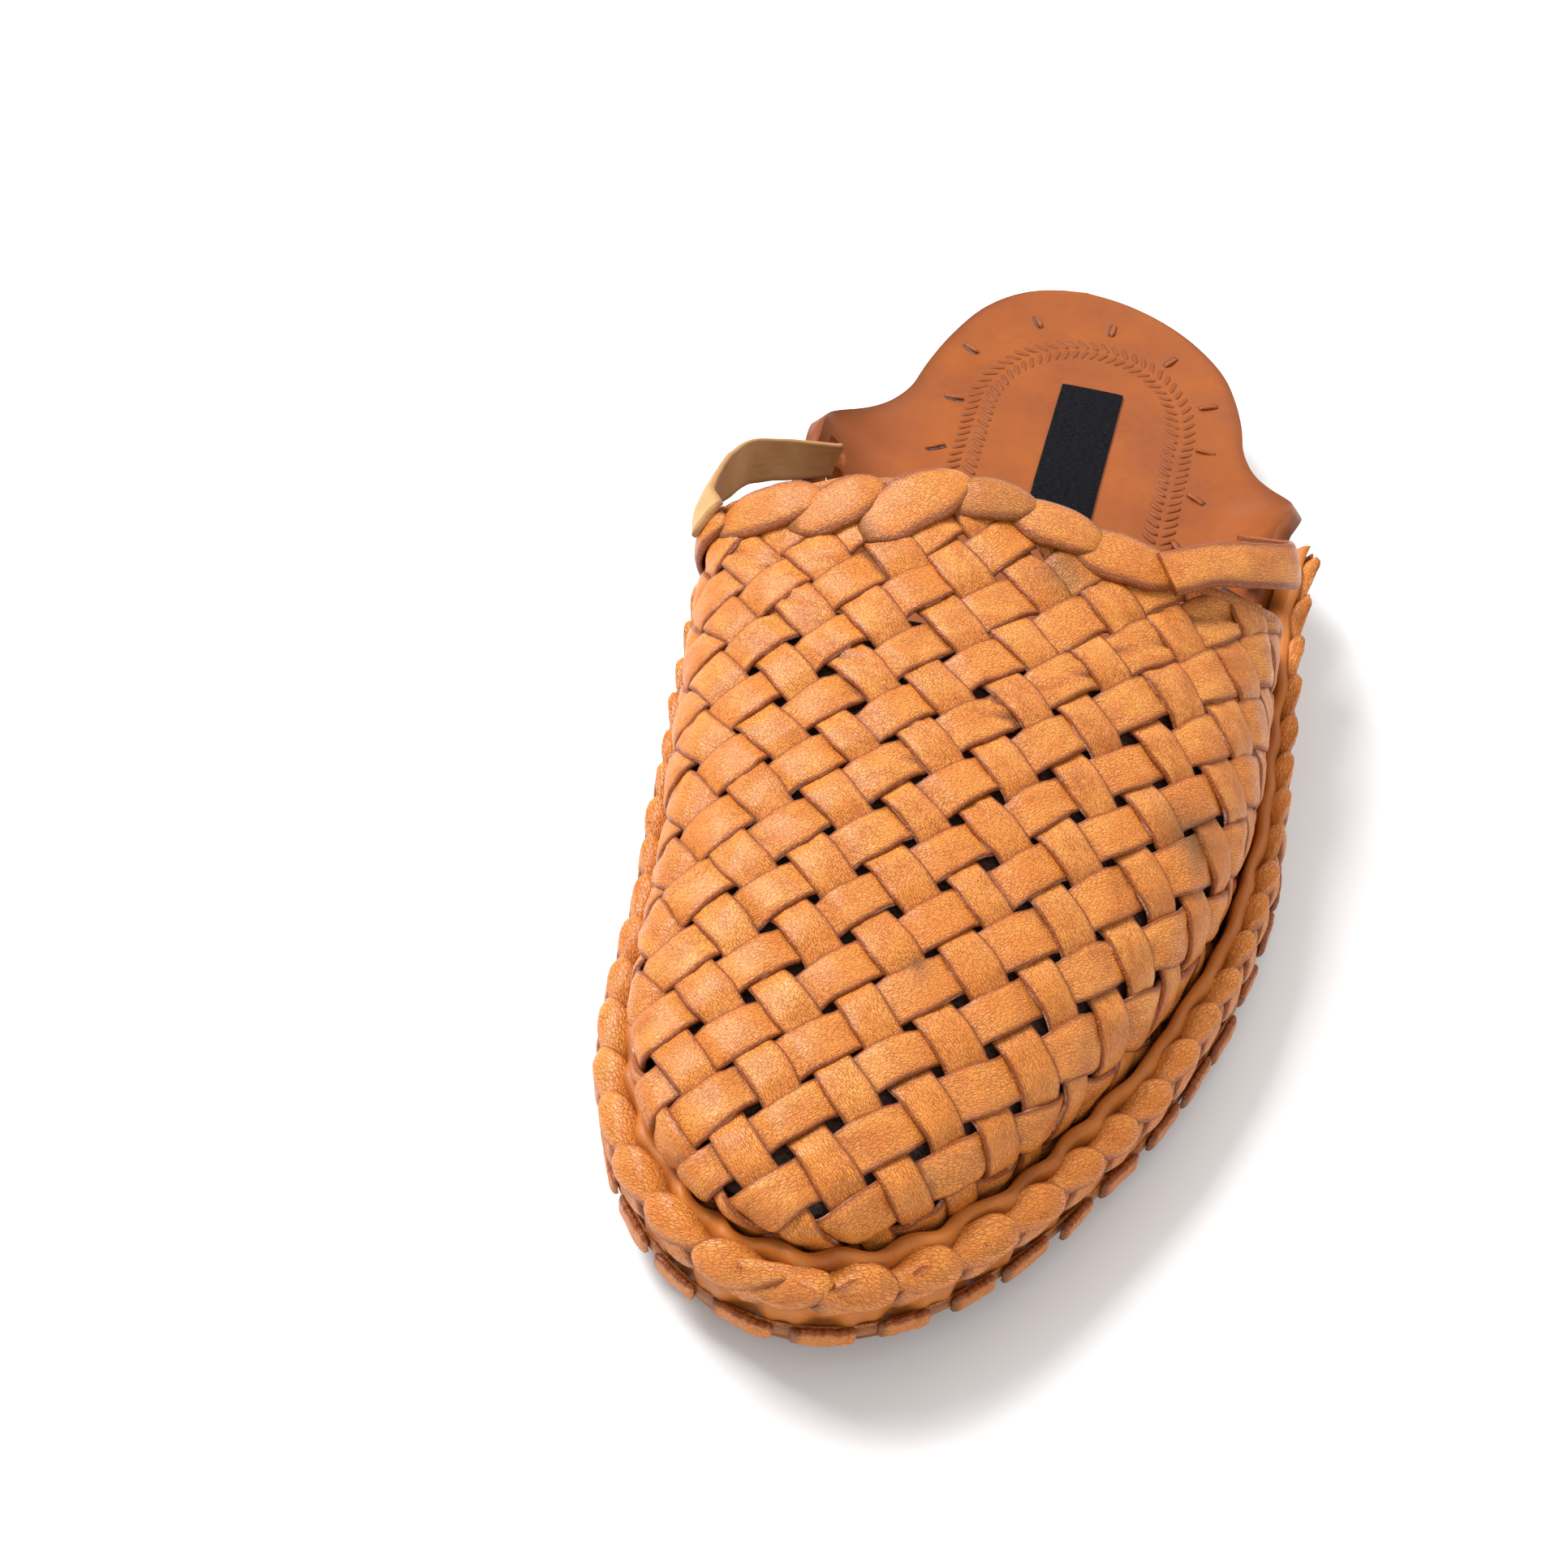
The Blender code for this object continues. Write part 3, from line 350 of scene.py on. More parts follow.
def flare(t, side):
    """How far the side leans out at the rim."""
    medial = smooth(t, FLARE[:, 0], FLARE[:, 1])
    lateral = smooth(t, FLARE[:, 0], FLARE[:, 2])
    return HEEL_WIDTH * np.where(side < 0, medial, lateral)


def edge(w, out, up, reach=LATERAL_END):
    """Point beside the sole's edge.

    w runs from -1 on the medial side over 0 at the toe to 1 on the lateral side, and the share of
    the length is reach times its square. The point lies out from the edge and up over the sole
    leather, and the side's lean is added in proportion to its height.
    """
    t = reach * w**2
    side = np.where(w < 0, -1.0, 1.0)
    here = outline(t, side)
    small = 1e-4
    ahead = outline(reach * (w + small) ** 2, np.where(w + small < 0, -1.0, 1.0))
    behind = outline(reach * (w - small) ** 2, np.where(w - small < 0, -1.0, 1.0))
    run = ahead - behind
    run = run / np.linalg.norm(run, axis=-1, keepdims=True)
    outward = np.stack([run[..., 1], -run[..., 0]], axis=-1)
    shift = out + flare(t, side) * up / RIM_UP
    plan = here + outward * np.asarray(shift)[..., None]
    height = underside(t) + OUTSOLE + up
    return np.concatenate([plan, np.asarray(height)[..., None]], axis=-1)


def edge_table():
    """The sole's edge by its length: w at equal steps, and the distance run at each."""
    w = np.linspace(-math.sqrt(MEDIAL_END / LATERAL_END), 1, 2001)
    points = edge(w, 0 * w, 0 * w)
    steps = np.linalg.norm(np.diff(points, axis=0), axis=1)
    return w, np.concatenate([[0], np.cumsum(steps)])


EDGE_W, EDGE_RUN = edge_table()
EDGE_LENGTH = EDGE_RUN[-1]
TOE_RUN = np.interp(0.0, EDGE_W, EDGE_RUN)


def edge_w(run):
    """Value of w after a distance along the sole's edge, from the medial end."""
    return np.interp(run, EDGE_RUN, EDGE_W)


def crown(t):
    """Height of the vamp's crown over the rim, and its sideways place."""
    height = INSTEP * smooth(t, CROWN[:, 0], CROWN[:, 1])
    return height, BALL_WIDTH * smooth(t, CROWN[:, 0], CROWN[:, 2])


class Vamp:
    """The surface of the woven vamp, laid out flat.

    A flat point (across, along) lies on a rib: a straight one across the crown line for along > 0,
    and one of a fan round the toe's centre for along < 0. Each rib falls from the crown to the rim
    as a quarter of a superellipse, is measured by its length, and goes on down inside the rand.
    A grid of points and normals is worked out once, and at() reads between them.
    """

    SAMPLES = 64
    STEP = 0.001

    def __init__(self):
        self.middle = np.array([crown(TOE_CENTRE)[1], (TOE_CENTRE - 0.5) * LENGTH])
        self.w = np.linspace(-1, 1, 1601)
        self.rim = edge(self.w, UPPER_OUT, RIM_UP, RIB_REACH)
        away = self.rim[:, :2] - self.middle
        self.angle = np.arctan2(away[:, 0], -away[:, 1])
        self.across = np.arange(-0.106, 0.1065, self.STEP) + self.STEP / 2
        self.along = np.arange(-0.080, 0.1325, self.STEP) + self.STEP / 2
        across, along = np.meshgrid(self.across, self.along)
        rows = [self.point(across[k], along[k]) for k in range(len(along))]
        self.points = np.stack(rows)
        by_across = np.gradient(self.points, axis=1)
        by_along = np.gradient(self.points, axis=0)
        normals = np.cross(by_across, by_along)
        self.normals = normals / np.maximum(np.linalg.norm(normals, axis=-1, keepdims=True), 1e-12)

    def rib_of(self, across, along):
        """Value of w at the end of the rib, the rib's own crown point, and the length along it."""
        fan = along < 0
        turn = np.arctan2(across, -along)
        inner = np.abs(self.angle) <= math.pi / 2 + 0.2
        w_fan = np.interp(turn, self.angle[inner], self.w[inner])
        y = self.middle[1] + along / SPINE_STRETCH
        medial = self.w < 0
        w_medial = np.interp(y, self.rim[medial, 1][::-1], self.w[medial][::-1])
        w_lateral = np.interp(y, self.rim[~medial, 1], self.w[~medial])
        w = np.where(fan, w_fan, np.where(across < 0, w_medial, w_lateral))
        top_x = np.where(fan, self.middle[0], crown(y / LENGTH + 0.5)[1])
        top = np.stack([top_x, np.where(fan, self.middle[1], y)], axis=-1)
        length = np.where(fan, np.hypot(across, along), np.abs(across))
        return w, top, length

    def ribs(self, w, top):
        """Points of each rib from crown to rim, and how long it is up to each point."""
        share = np.sin(np.linspace(0, math.pi / 2, self.SAMPLES))
        rim = edge(w, UPPER_OUT, RIM_UP, RIB_REACH)
        fall = (1 - share**VAMP_FULLNESS) ** (1 / VAMP_FULLNESS)
        medial = np.clip(0.5 - w / BULGE_BLEND, 0, 1)
        bulge = VAMP_BULGE[0] * medial + VAMP_BULGE[1] * (1 - medial)
        reach = share * (1 + bulge[:, None] * BULGE_PEAK * fall**2 * (1 - fall))
        plan = top[:, None, :] + reach[..., None] * (rim[:, None, :2] - top[:, None, :])
        t = plan[..., 1] / LENGTH + 0.5
        top_height = underside(t) + OUTSOLE + RIM_UP + crown(t)[0]
        height = rim[:, None, 2] + (top_height - rim[:, None, 2]) * fall
        points = np.concatenate([plan, height[..., None]], axis=-1)
        steps = np.linalg.norm(np.diff(points, axis=1), axis=2)
        return points, np.concatenate([np.zeros((len(w), 1)), np.cumsum(steps, axis=1)], axis=1)

    def point(self, across, along):
        """The place of each flat point on the vamp."""
        w, top, length = self.rib_of(across, along)
        points, measured = self.ribs(w, top)
        rows = np.arange(len(w))
        after = np.clip((measured < length[:, None]).sum(axis=1), 1, self.SAMPLES - 1)
        low = measured[rows, after - 1]
        part = np.clip((length - low) / (measured[rows, after] - low), 0, 1)[:, None]
        on_rib = points[rows, after - 1] * (1 - part) + points[rows, after] * part
        beyond = np.maximum(length - measured[:, -1], 0)
        under = edge(w, UPPER_OUT, RIM_UP - beyond, RIB_REACH)
        return np.where((beyond > 0)[:, None], under, on_rib)

    def at(self, across, along, height):
        """Place of a flat point raised by its height along the surface's normal."""
        column = np.clip((across - self.across[0]) / self.STEP, 0, len(self.across) - 1.001)
        row = np.clip((along - self.along[0]) / self.STEP, 0, len(self.along) - 1.001)
        i, j = row.astype(int), column.astype(int)
        a, b = (row - i)[..., None], (column - j)[..., None]
        place, normal = 0, 0
        for di, dj, weight in ((0, 0, (1 - a) * (1 - b)), (1, 0, a * (1 - b)),
                               (0, 1, (1 - a) * b), (1, 1, a * b)):
            place = place + weight * self.points[i + di, j + dj]
            normal = normal + weight * self.normals[i + di, j + dj]
        return place + normal * np.asarray(height)[..., None]

    def rim_length(self, w, top):
        return self.ribs(w, top)[1][:, -1]

    def border(self):
        """The panel's edge when laid flat: down one side, round the toe, up the other, the collar."""
        sides = []
        for side, end in zip((-1.0, 1.0), (COLLAR[0, 1], COLLAR[-1, 1])):
            y = np.linspace((end - 0.5) * LENGTH, self.middle[1], 30)
            along = (y - self.middle[1]) * SPINE_STRETCH
            w, top, _ = self.rib_of(np.full_like(y, side), along + 1e-9)
            length = self.rim_length(w, top) + self.tuck(y / LENGTH + 0.5)
            sides.append(np.stack([side * length, along], axis=-1))
        turn = np.linspace(-math.pi / 2, math.pi / 2, 41)[1:-1]
        w, top, _ = self.rib_of(np.sin(turn), -np.cos(turn))
        length = self.rim_length(w, top) + self.tuck(TOE_CENTRE)
        toe = np.stack([length * np.sin(turn), -length * np.cos(turn)], axis=-1)
        return np.concatenate([sides[0], toe, sides[1][::-1], self.collar(np.linspace(0.98, -0.98, 61))])

    def tuck(self, t):
        """How far the wall goes on below the rim; it ends above the footbed's ears."""
        full = RIM_UP - TUCK_CLEAR
        return full * (1 - smooth(t, np.array([0.0, 0.525, 0.59]), np.array([0.0, 0.0, 1.0])))

    def collar(self, place):
        """The collar's curve on the flat panel, from its table."""
        share = smooth(place, COLLAR[:, 0], COLLAR[:, 1])
        along = (share - TOE_CENTRE) * LENGTH * SPINE_STRETCH
        side = np.where(place < 0, -1.0, 1.0)
        w, top, _ = self.rib_of(side, along)
        return np.stack([place * self.rim_length(w, top), along], axis=-1)


def sole_stations(fine=1):
    """Shares of the length for the sole's layers, closer at the round ends and the waist."""
    toe = TOE_CENTRE * np.linspace(0.1, 1, 9 * fine, endpoint=False) ** 2
    ball = np.linspace(TOE_CENTRE, 0.5, 8 * fine, endpoint=False)
    waist = np.linspace(0.5, HEEL_STRAIGHT, 18 * fine, endpoint=False)
    heel = HEEL_STRAIGHT + (1 - HEEL_STRAIGHT) * np.sin(np.linspace(0, 0.96, 12 * fine) * math.pi / 2)
    return np.concatenate([toe, ball, waist, heel])


def frame_shift():
    """How far the frame lies from the tables' own origin, read from the sole leather's box."""
    t = sole_stations()
    plan = np.concatenate([outline(t, -1.0), outline(t, 1.0)])
    low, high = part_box("outsole")
    middle = np.array([(low.x + high.x) / 2, (low.y + high.y) / 2])
    return np.append(middle - (plan.min(axis=0) + plan.max(axis=0)) / 2, 0.0)


SHIFT = frame_shift()


class Batch:
    """Closed bodies gathered into one mesh, with an attribute for each kind of value."""

    def __init__(self):
        self.points = []
        self.quads = []
        self.triangles = []
        self.values = {}
        self.count = 0

    def tube(self, grid, **values):
        """Closed section (columns) carried along a path (rows), its ends closed on their middles."""
        rows, columns = grid.shape[:2]
        index = self.count + np.arange(rows * columns).reshape(rows, columns)
        around = np.roll(index, -1, axis=1)
        quads = np.stack([index[:-1], around[:-1], around[1:], index[1:]], axis=-1)
        self.quads.append(quads.reshape(-1, 4))
        first = np.full(columns, self.count + rows * columns)
        self.triangles.append(np.stack([around[0], index[0], first], axis=-1))
        self.triangles.append(np.stack([index[-1], around[-1], first + 1], axis=-1))
        self.points.append(np.concatenate([grid.reshape(-1, 3), grid[[0, -1]].mean(axis=1)]))
        for name, value in values.items():
            value = np.asarray(value, float)
            depth = value.shape[2:]
            value = np.broadcast_to(value, (rows, columns) + depth).reshape((rows, columns, -1))
            ends = value[[0, -1]].mean(axis=1)
            whole = np.concatenate([value.reshape(rows * columns, -1), ends])
            self.values.setdefault(name, []).append(whole)
        self.count += rows * columns + 2

    def mesh(self, name):
        """All bodies as one mesh, each with its faces outward."""
        mesh = bpy.data.meshes.new(name)
        points = np.concatenate(self.points) + SHIFT
        faces = np.concatenate(self.quads).tolist() + np.concatenate(self.triangles).tolist()
        mesh.from_pydata(points.tolist(), [], faces)
        for key, parts in self.values.items():
            whole = np.concatenate(parts)
            vector = whole.shape[1] == 3
            made = mesh.attributes.new(key, "FLOAT_VECTOR" if vector else "FLOAT", "POINT")
            made.data.foreach_set("vector" if vector else "value", whole.astype(np.float32).ravel())
        shape = bmesh.new()
        shape.from_mesh(mesh)
        bmesh.ops.recalc_face_normals(shape, faces=shape.faces)
        shape.to_mesh(mesh)
        shape.free()
        mesh.shade_smooth()
        return mesh


def add_piece(name, mesh, finish, nodes=()):
    """Object for a mesh, riding on the slipper and standing for its nodes."""
    piece = bpy.data.objects.new(name, mesh)
    bpy.context.scene.collection.objects.link(piece)
    mesh.materials.append(finish)
    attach(piece, "root")
    if nodes:
        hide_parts(*nodes)
    return piece


def section(around, square):
    """Closed section of a strip: a superellipse from cosine and sine raised to a power under 1."""
    turn = 2 * math.pi * np.arange(around) / around
    lat = np.sign(np.cos(turn)) * np.abs(np.cos(turn)) ** square
    lift = np.sign(np.sin(turn)) * np.abs(np.sin(turn)) ** square
    return lat, lift


def strip_values(along, across, seed, wear, painted_shade, stain_and_shade, cut=0.0):
    """The attributes that the leathers read, for one strip's grid."""
    shape = np.broadcast_shapes(np.shape(along), np.shape(across))
    grain = np.stack([np.broadcast_to(along, shape), np.broadcast_to(across, shape),
                      np.full(shape, seed * 0.37)], axis=-1)
    tone = np.random.default_rng(seed).uniform(0, 1)
    return {
        "grain": grain,
        "wear": np.broadcast_to(wear, shape),
        "painted_shade": np.broadcast_to(painted_shade, shape),
        "stain_and_shade": np.broadcast_to(stain_and_shade, shape),
        "cut": np.broadcast_to(cut, shape),
        "tone": np.broadcast_to(tone, shape),
    }


def stain_at(across, along):
    """Brownness of the stains: each falls off from its centre as a bell."""
    total = np.zeros(np.broadcast_shapes(np.shape(across), np.shape(along)))
    for x, y, radius in STAINS * MM:
        total = total + np.exp(-((across - x) ** 2 + (along - y) ** 2) / radius**2)
    return np.clip(total, 0, 1)


def inside(points, border):
    """Whether flat points lie inside a closed outline, by counting the edges that they pass."""
    x, y = points[..., 0, None], points[..., 1, None]
    x1, y1 = border[:, 0], border[:, 1]
    x2, y2 = np.roll(x1, -1), np.roll(y1, -1)
    crosses = (y1 > y) != (y2 > y)
    at = x1 + (y - y1) * (x2 - x1) / np.where(y2 == y1, 1.0, y2 - y1)
    return (crosses & (x < at)).sum(axis=-1) % 2 == 1


def flat_place(a, b):
    """Place on the flat vamp of a point of the diagonal weave."""
    return (a + b) * DIAGONAL + WEAVE_SHIFT[0], (a - b) * DIAGONAL - WEAVE_SHIFT[1]


def weave_strip(batch, vamp, border, rising, number):
    """One strip of the weave, from edge to edge of the panel.

    Its middle rises over and dives under the strips that it crosses, as a cosine flattened by
    tanh. Each fibre ends where it meets the panel's edge. The strips lie closer on the medial
    side and at the collar, where no hole shows.
    """
    run = np.arange(-0.19, 0.19, 0.0004)
    fibres = np.linspace(-1, 1, 9)
    own, other = (RISING_PITCH, FALLING_PITCH) if rising else (FALLING_PITCH, RISING_PITCH)
    width = RISING_WIDTH if rising else FALLING_WIDTH
    line = number * own + fibres[:, None] * width / 2
    across, along = flat_place(run, line) if rising else flat_place(line, run)
    within = inside(np.stack([across, along], axis=-1), border)
    held = within.sum(axis=1) > 12
    if held.sum() < 3:
        return
    first = np.where(held, run[within.argmax(axis=1)], np.nan)
    last = np.where(held, run[len(run) - 1 - within[:, ::-1].argmax(axis=1)], np.nan)
    first = np.interp(fibres, fibres[held], first[held])
    last = np.interp(fibres, fibres[held], last[held])
    lat, lift = section(22, 0.36)
    count = int((last.max() - first.min()) / STRIP_STEP) + 4
    share = np.linspace(0, 1, count)[:, None]
    start, end = np.interp(lat, fibres, first), np.interp(lat, fibres, last)
    q = start + (end - start) * share
    seed = 1000 + 2 * number + int(rising)
    draw = np.random.default_rng(seed + 7)
    wave = np.cos(math.pi * (q / other + number)) * (1 if rising else -1)
    level = STRIP_RISE * np.tanh(1.7 * wave) / math.tanh(1.7)
    middle = number * own + 0.0005 * wobble(q, seed, 0.041) + 0.0003 * draw.normal() + 0.006 * draw.normal() * q
    rough = flat_place(q, middle) if rising else flat_place(middle, q)
    tight = np.maximum(ease(rough[1], 0.060, 0.090), 0.8 * ease(-rough[0], 0.010, 0.045))
    wide = 1 + 0.17 * tight + 0.06 * draw.normal()
    half = width / 2 * wide * (0.94 + 0.06 * np.abs(wave)) * (1 + 0.07 * wobble(q, seed + 1, 0.023))
    aside = middle + lat * half
    across, along = flat_place(q, aside) if rising else flat_place(aside, q)
    crowned = STRIP_CROWN * (0.3 + 0.7 * wave)
    height = level + STRIP_THICK / 2 * lift - crowned * np.abs(lat) ** 3
    height = height + 0.00024 * lat * wobble(q, seed + 2, 0.019) + 0.00012 * wobble(q, seed + 3, 0.008)
    grid = vamp.at(across, along, height)
    wear = np.abs(lat) ** 9 + 0 * q
    # Painted shade: the strip is coloured darker where it dives under the strips it crosses
    painted_shade = ease(-wave, -0.05, 0.75)
    cut = ease(np.abs(lat), 0.985, 1.0) * ease(-np.abs(lift), -0.75, -0.4) + 0 * q
    batch.tube(grid, **strip_values(q, lat * half, seed, wear, painted_shade, stain_at(across, along), cut))


def make_weave(vamp, finish):
    """The two directions of strips, each as one piece."""
    border = vamp.border()
    count = 19
    for rising, name in ((True, "rising_strips"), (False, "falling_strips")):
        batch = Batch()
        for number in range(-count, count + 1):
            weave_strip(batch, vamp, border, rising, number)
        nodes = ("upper",) if rising else ()
        add_piece(name, batch.mesh(name), finish, nodes)


def leaf(batch, surface, start, end, width, levels, seed, thick=0.0014, blunt=2.6, crowned=0.0007,
         stain_and_shade=0.0, rows=25, around=16, square=0.5, fold=0.0):
    """Short strip lying on a surface between two places.

    Its half width is a blunt oval, (1 - |u|^blunt)^(1/blunt) for u from -1 to 1, its level goes
    from the first to the second, and its back is crowned across. A fold tips one side up.
    """
    start, end = np.asarray(start, float), np.asarray(end, float)
    u = np.linspace(-0.995, 0.995, rows)[:, None]
    lat, lift = section(around, square)
    length = np.linalg.norm(end - start)
    run = (end - start) / length
    oval = (1 - np.abs(u) ** blunt) ** (1 / blunt)
    half = width / 2 * oval * (1 + 0.04 * wobble(u, seed, 1.3))
    bow = 0.05 * width * wobble(u, seed + 1, 2.9)
    lengthwise = u * length / 2
    sideways = bow + lat * half
    p = (start[0] + end[0]) / 2 + run[0] * lengthwise - run[1] * sideways
    q = (start[1] + end[1]) / 2 + run[1] * lengthwise + run[0] * sideways
    level = levels[0] + (levels[1] - levels[0]) * ease(u, -1, 1)
    back = crowned * (1 - lat**2) * oval - crowned * (1 - oval)
    height = level + thick / 2 * lift * np.sqrt(1 - np.abs(u) ** 10) + back + fold * lat * oval
    grid = surface(p, q, height + 0.00008 * wobble(lengthwise + sideways, seed + 2, 0.006))
    wear = np.abs(lat) ** 5 + 0 * u
    # Painted shade: every leaf is coloured darker towards its start, which on the collar and the braid is the end
    # that tucks under a neighbour
    painted_shade = 0.8 * ease(-u, 0.35, 1.0) + 0 * lat
    values = strip_values(lengthwise + 0 * lat, sideways, seed, wear, painted_shade, stain_and_shade)
    batch.tube(grid, **values)


def make_collar(vamp, finish):
    """The strips folded back over the collar, and the rolled edge that they cover."""
    line = vamp.collar(np.linspace(-1, 1, 241))

    def folded(across, along, height):
        """Collar surface: past the collar's line a strip turns down towards the inside."""
        beyond = np.maximum(along - np.interp(across, line[:, 0], line[:, 1]), 0)
        return vamp.at(across, along - 0.2 * beyond, height - 60 * beyond**2)

    batch = Batch()
    for number, row in enumerate(COLLAR_LEAVES):
        start, end = row[:2] * MM, row[2:4] * MM
        levels = (0.0013, 0.0026)
        leaf(batch, folded, start, end, row[4] * MM, levels, 300 + 7 * number, thick=0.0015, blunt=1.9,
             crowned=0.0008, stain_and_shade=row[5], rows=41, around=26, square=0.36, fold=0.0004)
    place = np.linspace(-0.97, 0.97, 300)
    curve = vamp.collar(place)
    lat, lift = section(14, 1.0)
    run = np.linspace(0, 1, len(place))[:, None]
    thick = 0.0014 * (1 + 0.1 * wobble(run, 77, 0.07))
    along = curve[:, 1, None] - 0.0012 + thick * lat
    grid = vamp.at(curve[:, 0, None] + 0 * along, along, 0.0001 + thick * lift)
    # Painted shade of 0.3 over the whole rolled edge, which lies under the folded leaves
    values = strip_values(0.2 * run + 0 * lat, 0.002 * lift + 0 * run, 3, 0.3, 0.3, 0.1)
    batch.tube(grid, **values)
    add_piece("collar_folds", batch.mesh("collar_folds"), finish)


def rim_tube(batch, run, out, up, thick, tall, around, square, seed, wear_power=6, stain_and_shade=0.0):
    """Long strip beside the sole's edge, its section a superellipse of its thickness and height."""
    lat, lift = section(around, square)
    run = run[:, None]
    out, up = np.reshape(out, (-1, 1)), np.reshape(up, (-1, 1))
    thick, tall = np.reshape(thick, (-1, 1)), np.reshape(tall, (-1, 1))
    grid = edge(edge_w(run) + 0 * lat, out + thick / 2 * lat + 0 * run, up + tall / 2 * lift + 0 * run)
    wear = np.abs(lat) ** wear_power * ease(lift, -0.2, 0.6) + 0 * run
    across = tall / 2 * lift + thick / 2 * lat
    values = strip_values(run + 0 * lat, across + 0 * run, seed, wear, 0.0, stain_and_shade)
    batch.tube(grid, **values)


def make_rand(finish):
    """The strip on edge round the weave: its top winds in and out and up and down."""
    run = np.linspace(0, EDGE_LENGTH, 1200)
    away = run - TOE_RUN
    toe = np.exp(-((away / 0.06) ** 2))
    turn = 2 * math.pi * away / 0.0125 + 1.1 * wobble(run, 10, 0.06)
    wind = (0.0002 + 0.0007 * toe) * np.sin(turn) + 0.0003 * wobble(run, 11, 0.033)
    rise = (0.0002 + 0.0006 * toe) * np.sin(turn + 0.9) + 0.0005 * wobble(run, 12, 0.05)
    top = RAND_TOP + 0.0012 + rise
    bottom = GAP + 0.0005
    batch = Batch()
    thick = (0.0033 + 0.0005 * toe) * (1 + 0.10 * wobble(run, 13, 0.02))
    rim_tube(batch, run, RAND_OUT - 0.0004 + wind, (top + bottom) / 2, thick, top - bottom, 28, 0.55, 21)
    add_piece("wavy_rand", batch.mesh("wavy_rand"), finish, ("rand",))


# How far the links stand over the braid's own middle, and the foot of the band draws in
BRAID_RAISED = 0.0006
BAND_DRAWN = 0.0009


def drawn_in(run, up):
    """How far the band leans in towards its foot, most at the toe: a share of a smooth step."""
    front = np.exp(-(((run - TOE_RUN) / 0.11) ** 2))
    return BAND_DRAWN * front * ease(-up, -BAND_TOP, -0.0015)


def braid_core(run):
    """Middle, half depth and half height of the braid's core at a distance along the edge."""
    inner = RAND_OUT + RAND_THICK / 2 + EDGE_GAP
    thin = smooth(LATERAL_END * edge_w(run) ** 2, BRAID_THIN[:, 0], BRAID_THIN[:, 1])
    depth = BRAID_DEPTH * thin
    return inner + 0.32 * depth, 0.42 * depth, (BRAID_TOP - BRAID_BOTTOM) / 2


def braid_surface(run, round_it, height):
    """Place on the braid: a distance along the edge, and one round its core from the outside up."""
    out, half_depth, half_height = braid_core(run)
    turn = round_it / (0.5 * (half_depth + half_height))
    out = out + (half_depth + height) * np.cos(turn)
    up = (BRAID_BOTTOM + BRAID_TOP) / 2 + BRAID_RAISED + (half_height + height) * np.sin(turn)
    return edge(edge_w(run), out, up)


def braid_places():
    """Middles of the links: closer on the sides than round the toe."""
    places = [0.006]
    while places[-1] < EDGE_LENGTH - 0.014:
        front = math.exp(-((places[-1] - TOE_RUN) / 0.07) ** 2)
        places.append(places[-1] + 0.0090 + 0.0024 * front)
    return places


def make_braid(finish):
    """Two rows of overlapping links round the edge, leaning against each other like a plait."""
    batch = Batch()
    draw = np.random.default_rng(5)
    for k, centre in enumerate(braid_places()):
        side = -1 if centre < TOE_RUN else 1
        front = math.exp(-((centre - TOE_RUN) / 0.08) ** 2)
        jitter = draw.normal(0, 1, 7)
        reach = 0.0066 + 0.0030 * front + 0.0003 * jitter[0]
        top = 0.0042 + 0.0004 * front + 0.0002 * jitter[1]
        tilt = 0.0017 + 0.0019 * front + 0.0002 * jitter[5]
        start = (centre - side * reach, top + tilt)
        end = (centre + side * reach, top - tilt)
        width = (0.0052 + 0.0040 * front) * (1 + 0.07 * jitter[2])
        leaf(batch, braid_surface, start, end, width, (-0.0006, 0.0013), 500 + 9 * k, thick=0.0013,
             blunt=1.8, crowned=0.0007, rows=33, around=22, square=0.36, fold=0.0005 * side)
        low = -0.0002 + 0.0003 * jitter[3]
        shifted = centre + side * 0.0052
        start = (shifted - side * reach * 0.85, low - 0.0024)
        end = (shifted + side * reach * 0.85, low + 0.0030)
        width = (0.0046 + 0.0034 * front) * (1 + 0.07 * jitter[4])
        # The lower links are coloured a little darker: painted shade where they lie under the upper row
        leaf(batch, braid_surface, start, end, width, (0.0006, -0.0008), 504 + 9 * k, thick=0.0013,
             blunt=1.7, crowned=0.0007, stain_and_shade=0.12, rows=29, around=20, square=0.36, fold=-0.0004 * side)
    start, end = (TOE_RUN - 0.0085, 0.0020), (TOE_RUN + 0.0085, 0.0036)
    leaf(batch, braid_surface, start, end, 0.0088, (-0.0002, 0.0006), 990, thick=0.0014, blunt=1.9,
         crowned=0.0008, rows=33, around=22, square=0.36)
    run = np.linspace(0, EDGE_LENGTH, 500)
    out, half_depth, half_height = braid_core(run)
    # Painted shade: the core shows only between the links, and is coloured darker for it
    rim_tube(batch, run, out - 0.0005, np.full_like(run, (BRAID_BOTTOM + BRAID_TOP) / 2), 1.2 * half_depth,
             1.5 * half_height, 14, 0.9, 31, stain_and_shade=0.4)
    add_piece("lace_braid", batch.mesh("lace_braid"), finish, ("edge_braid",))


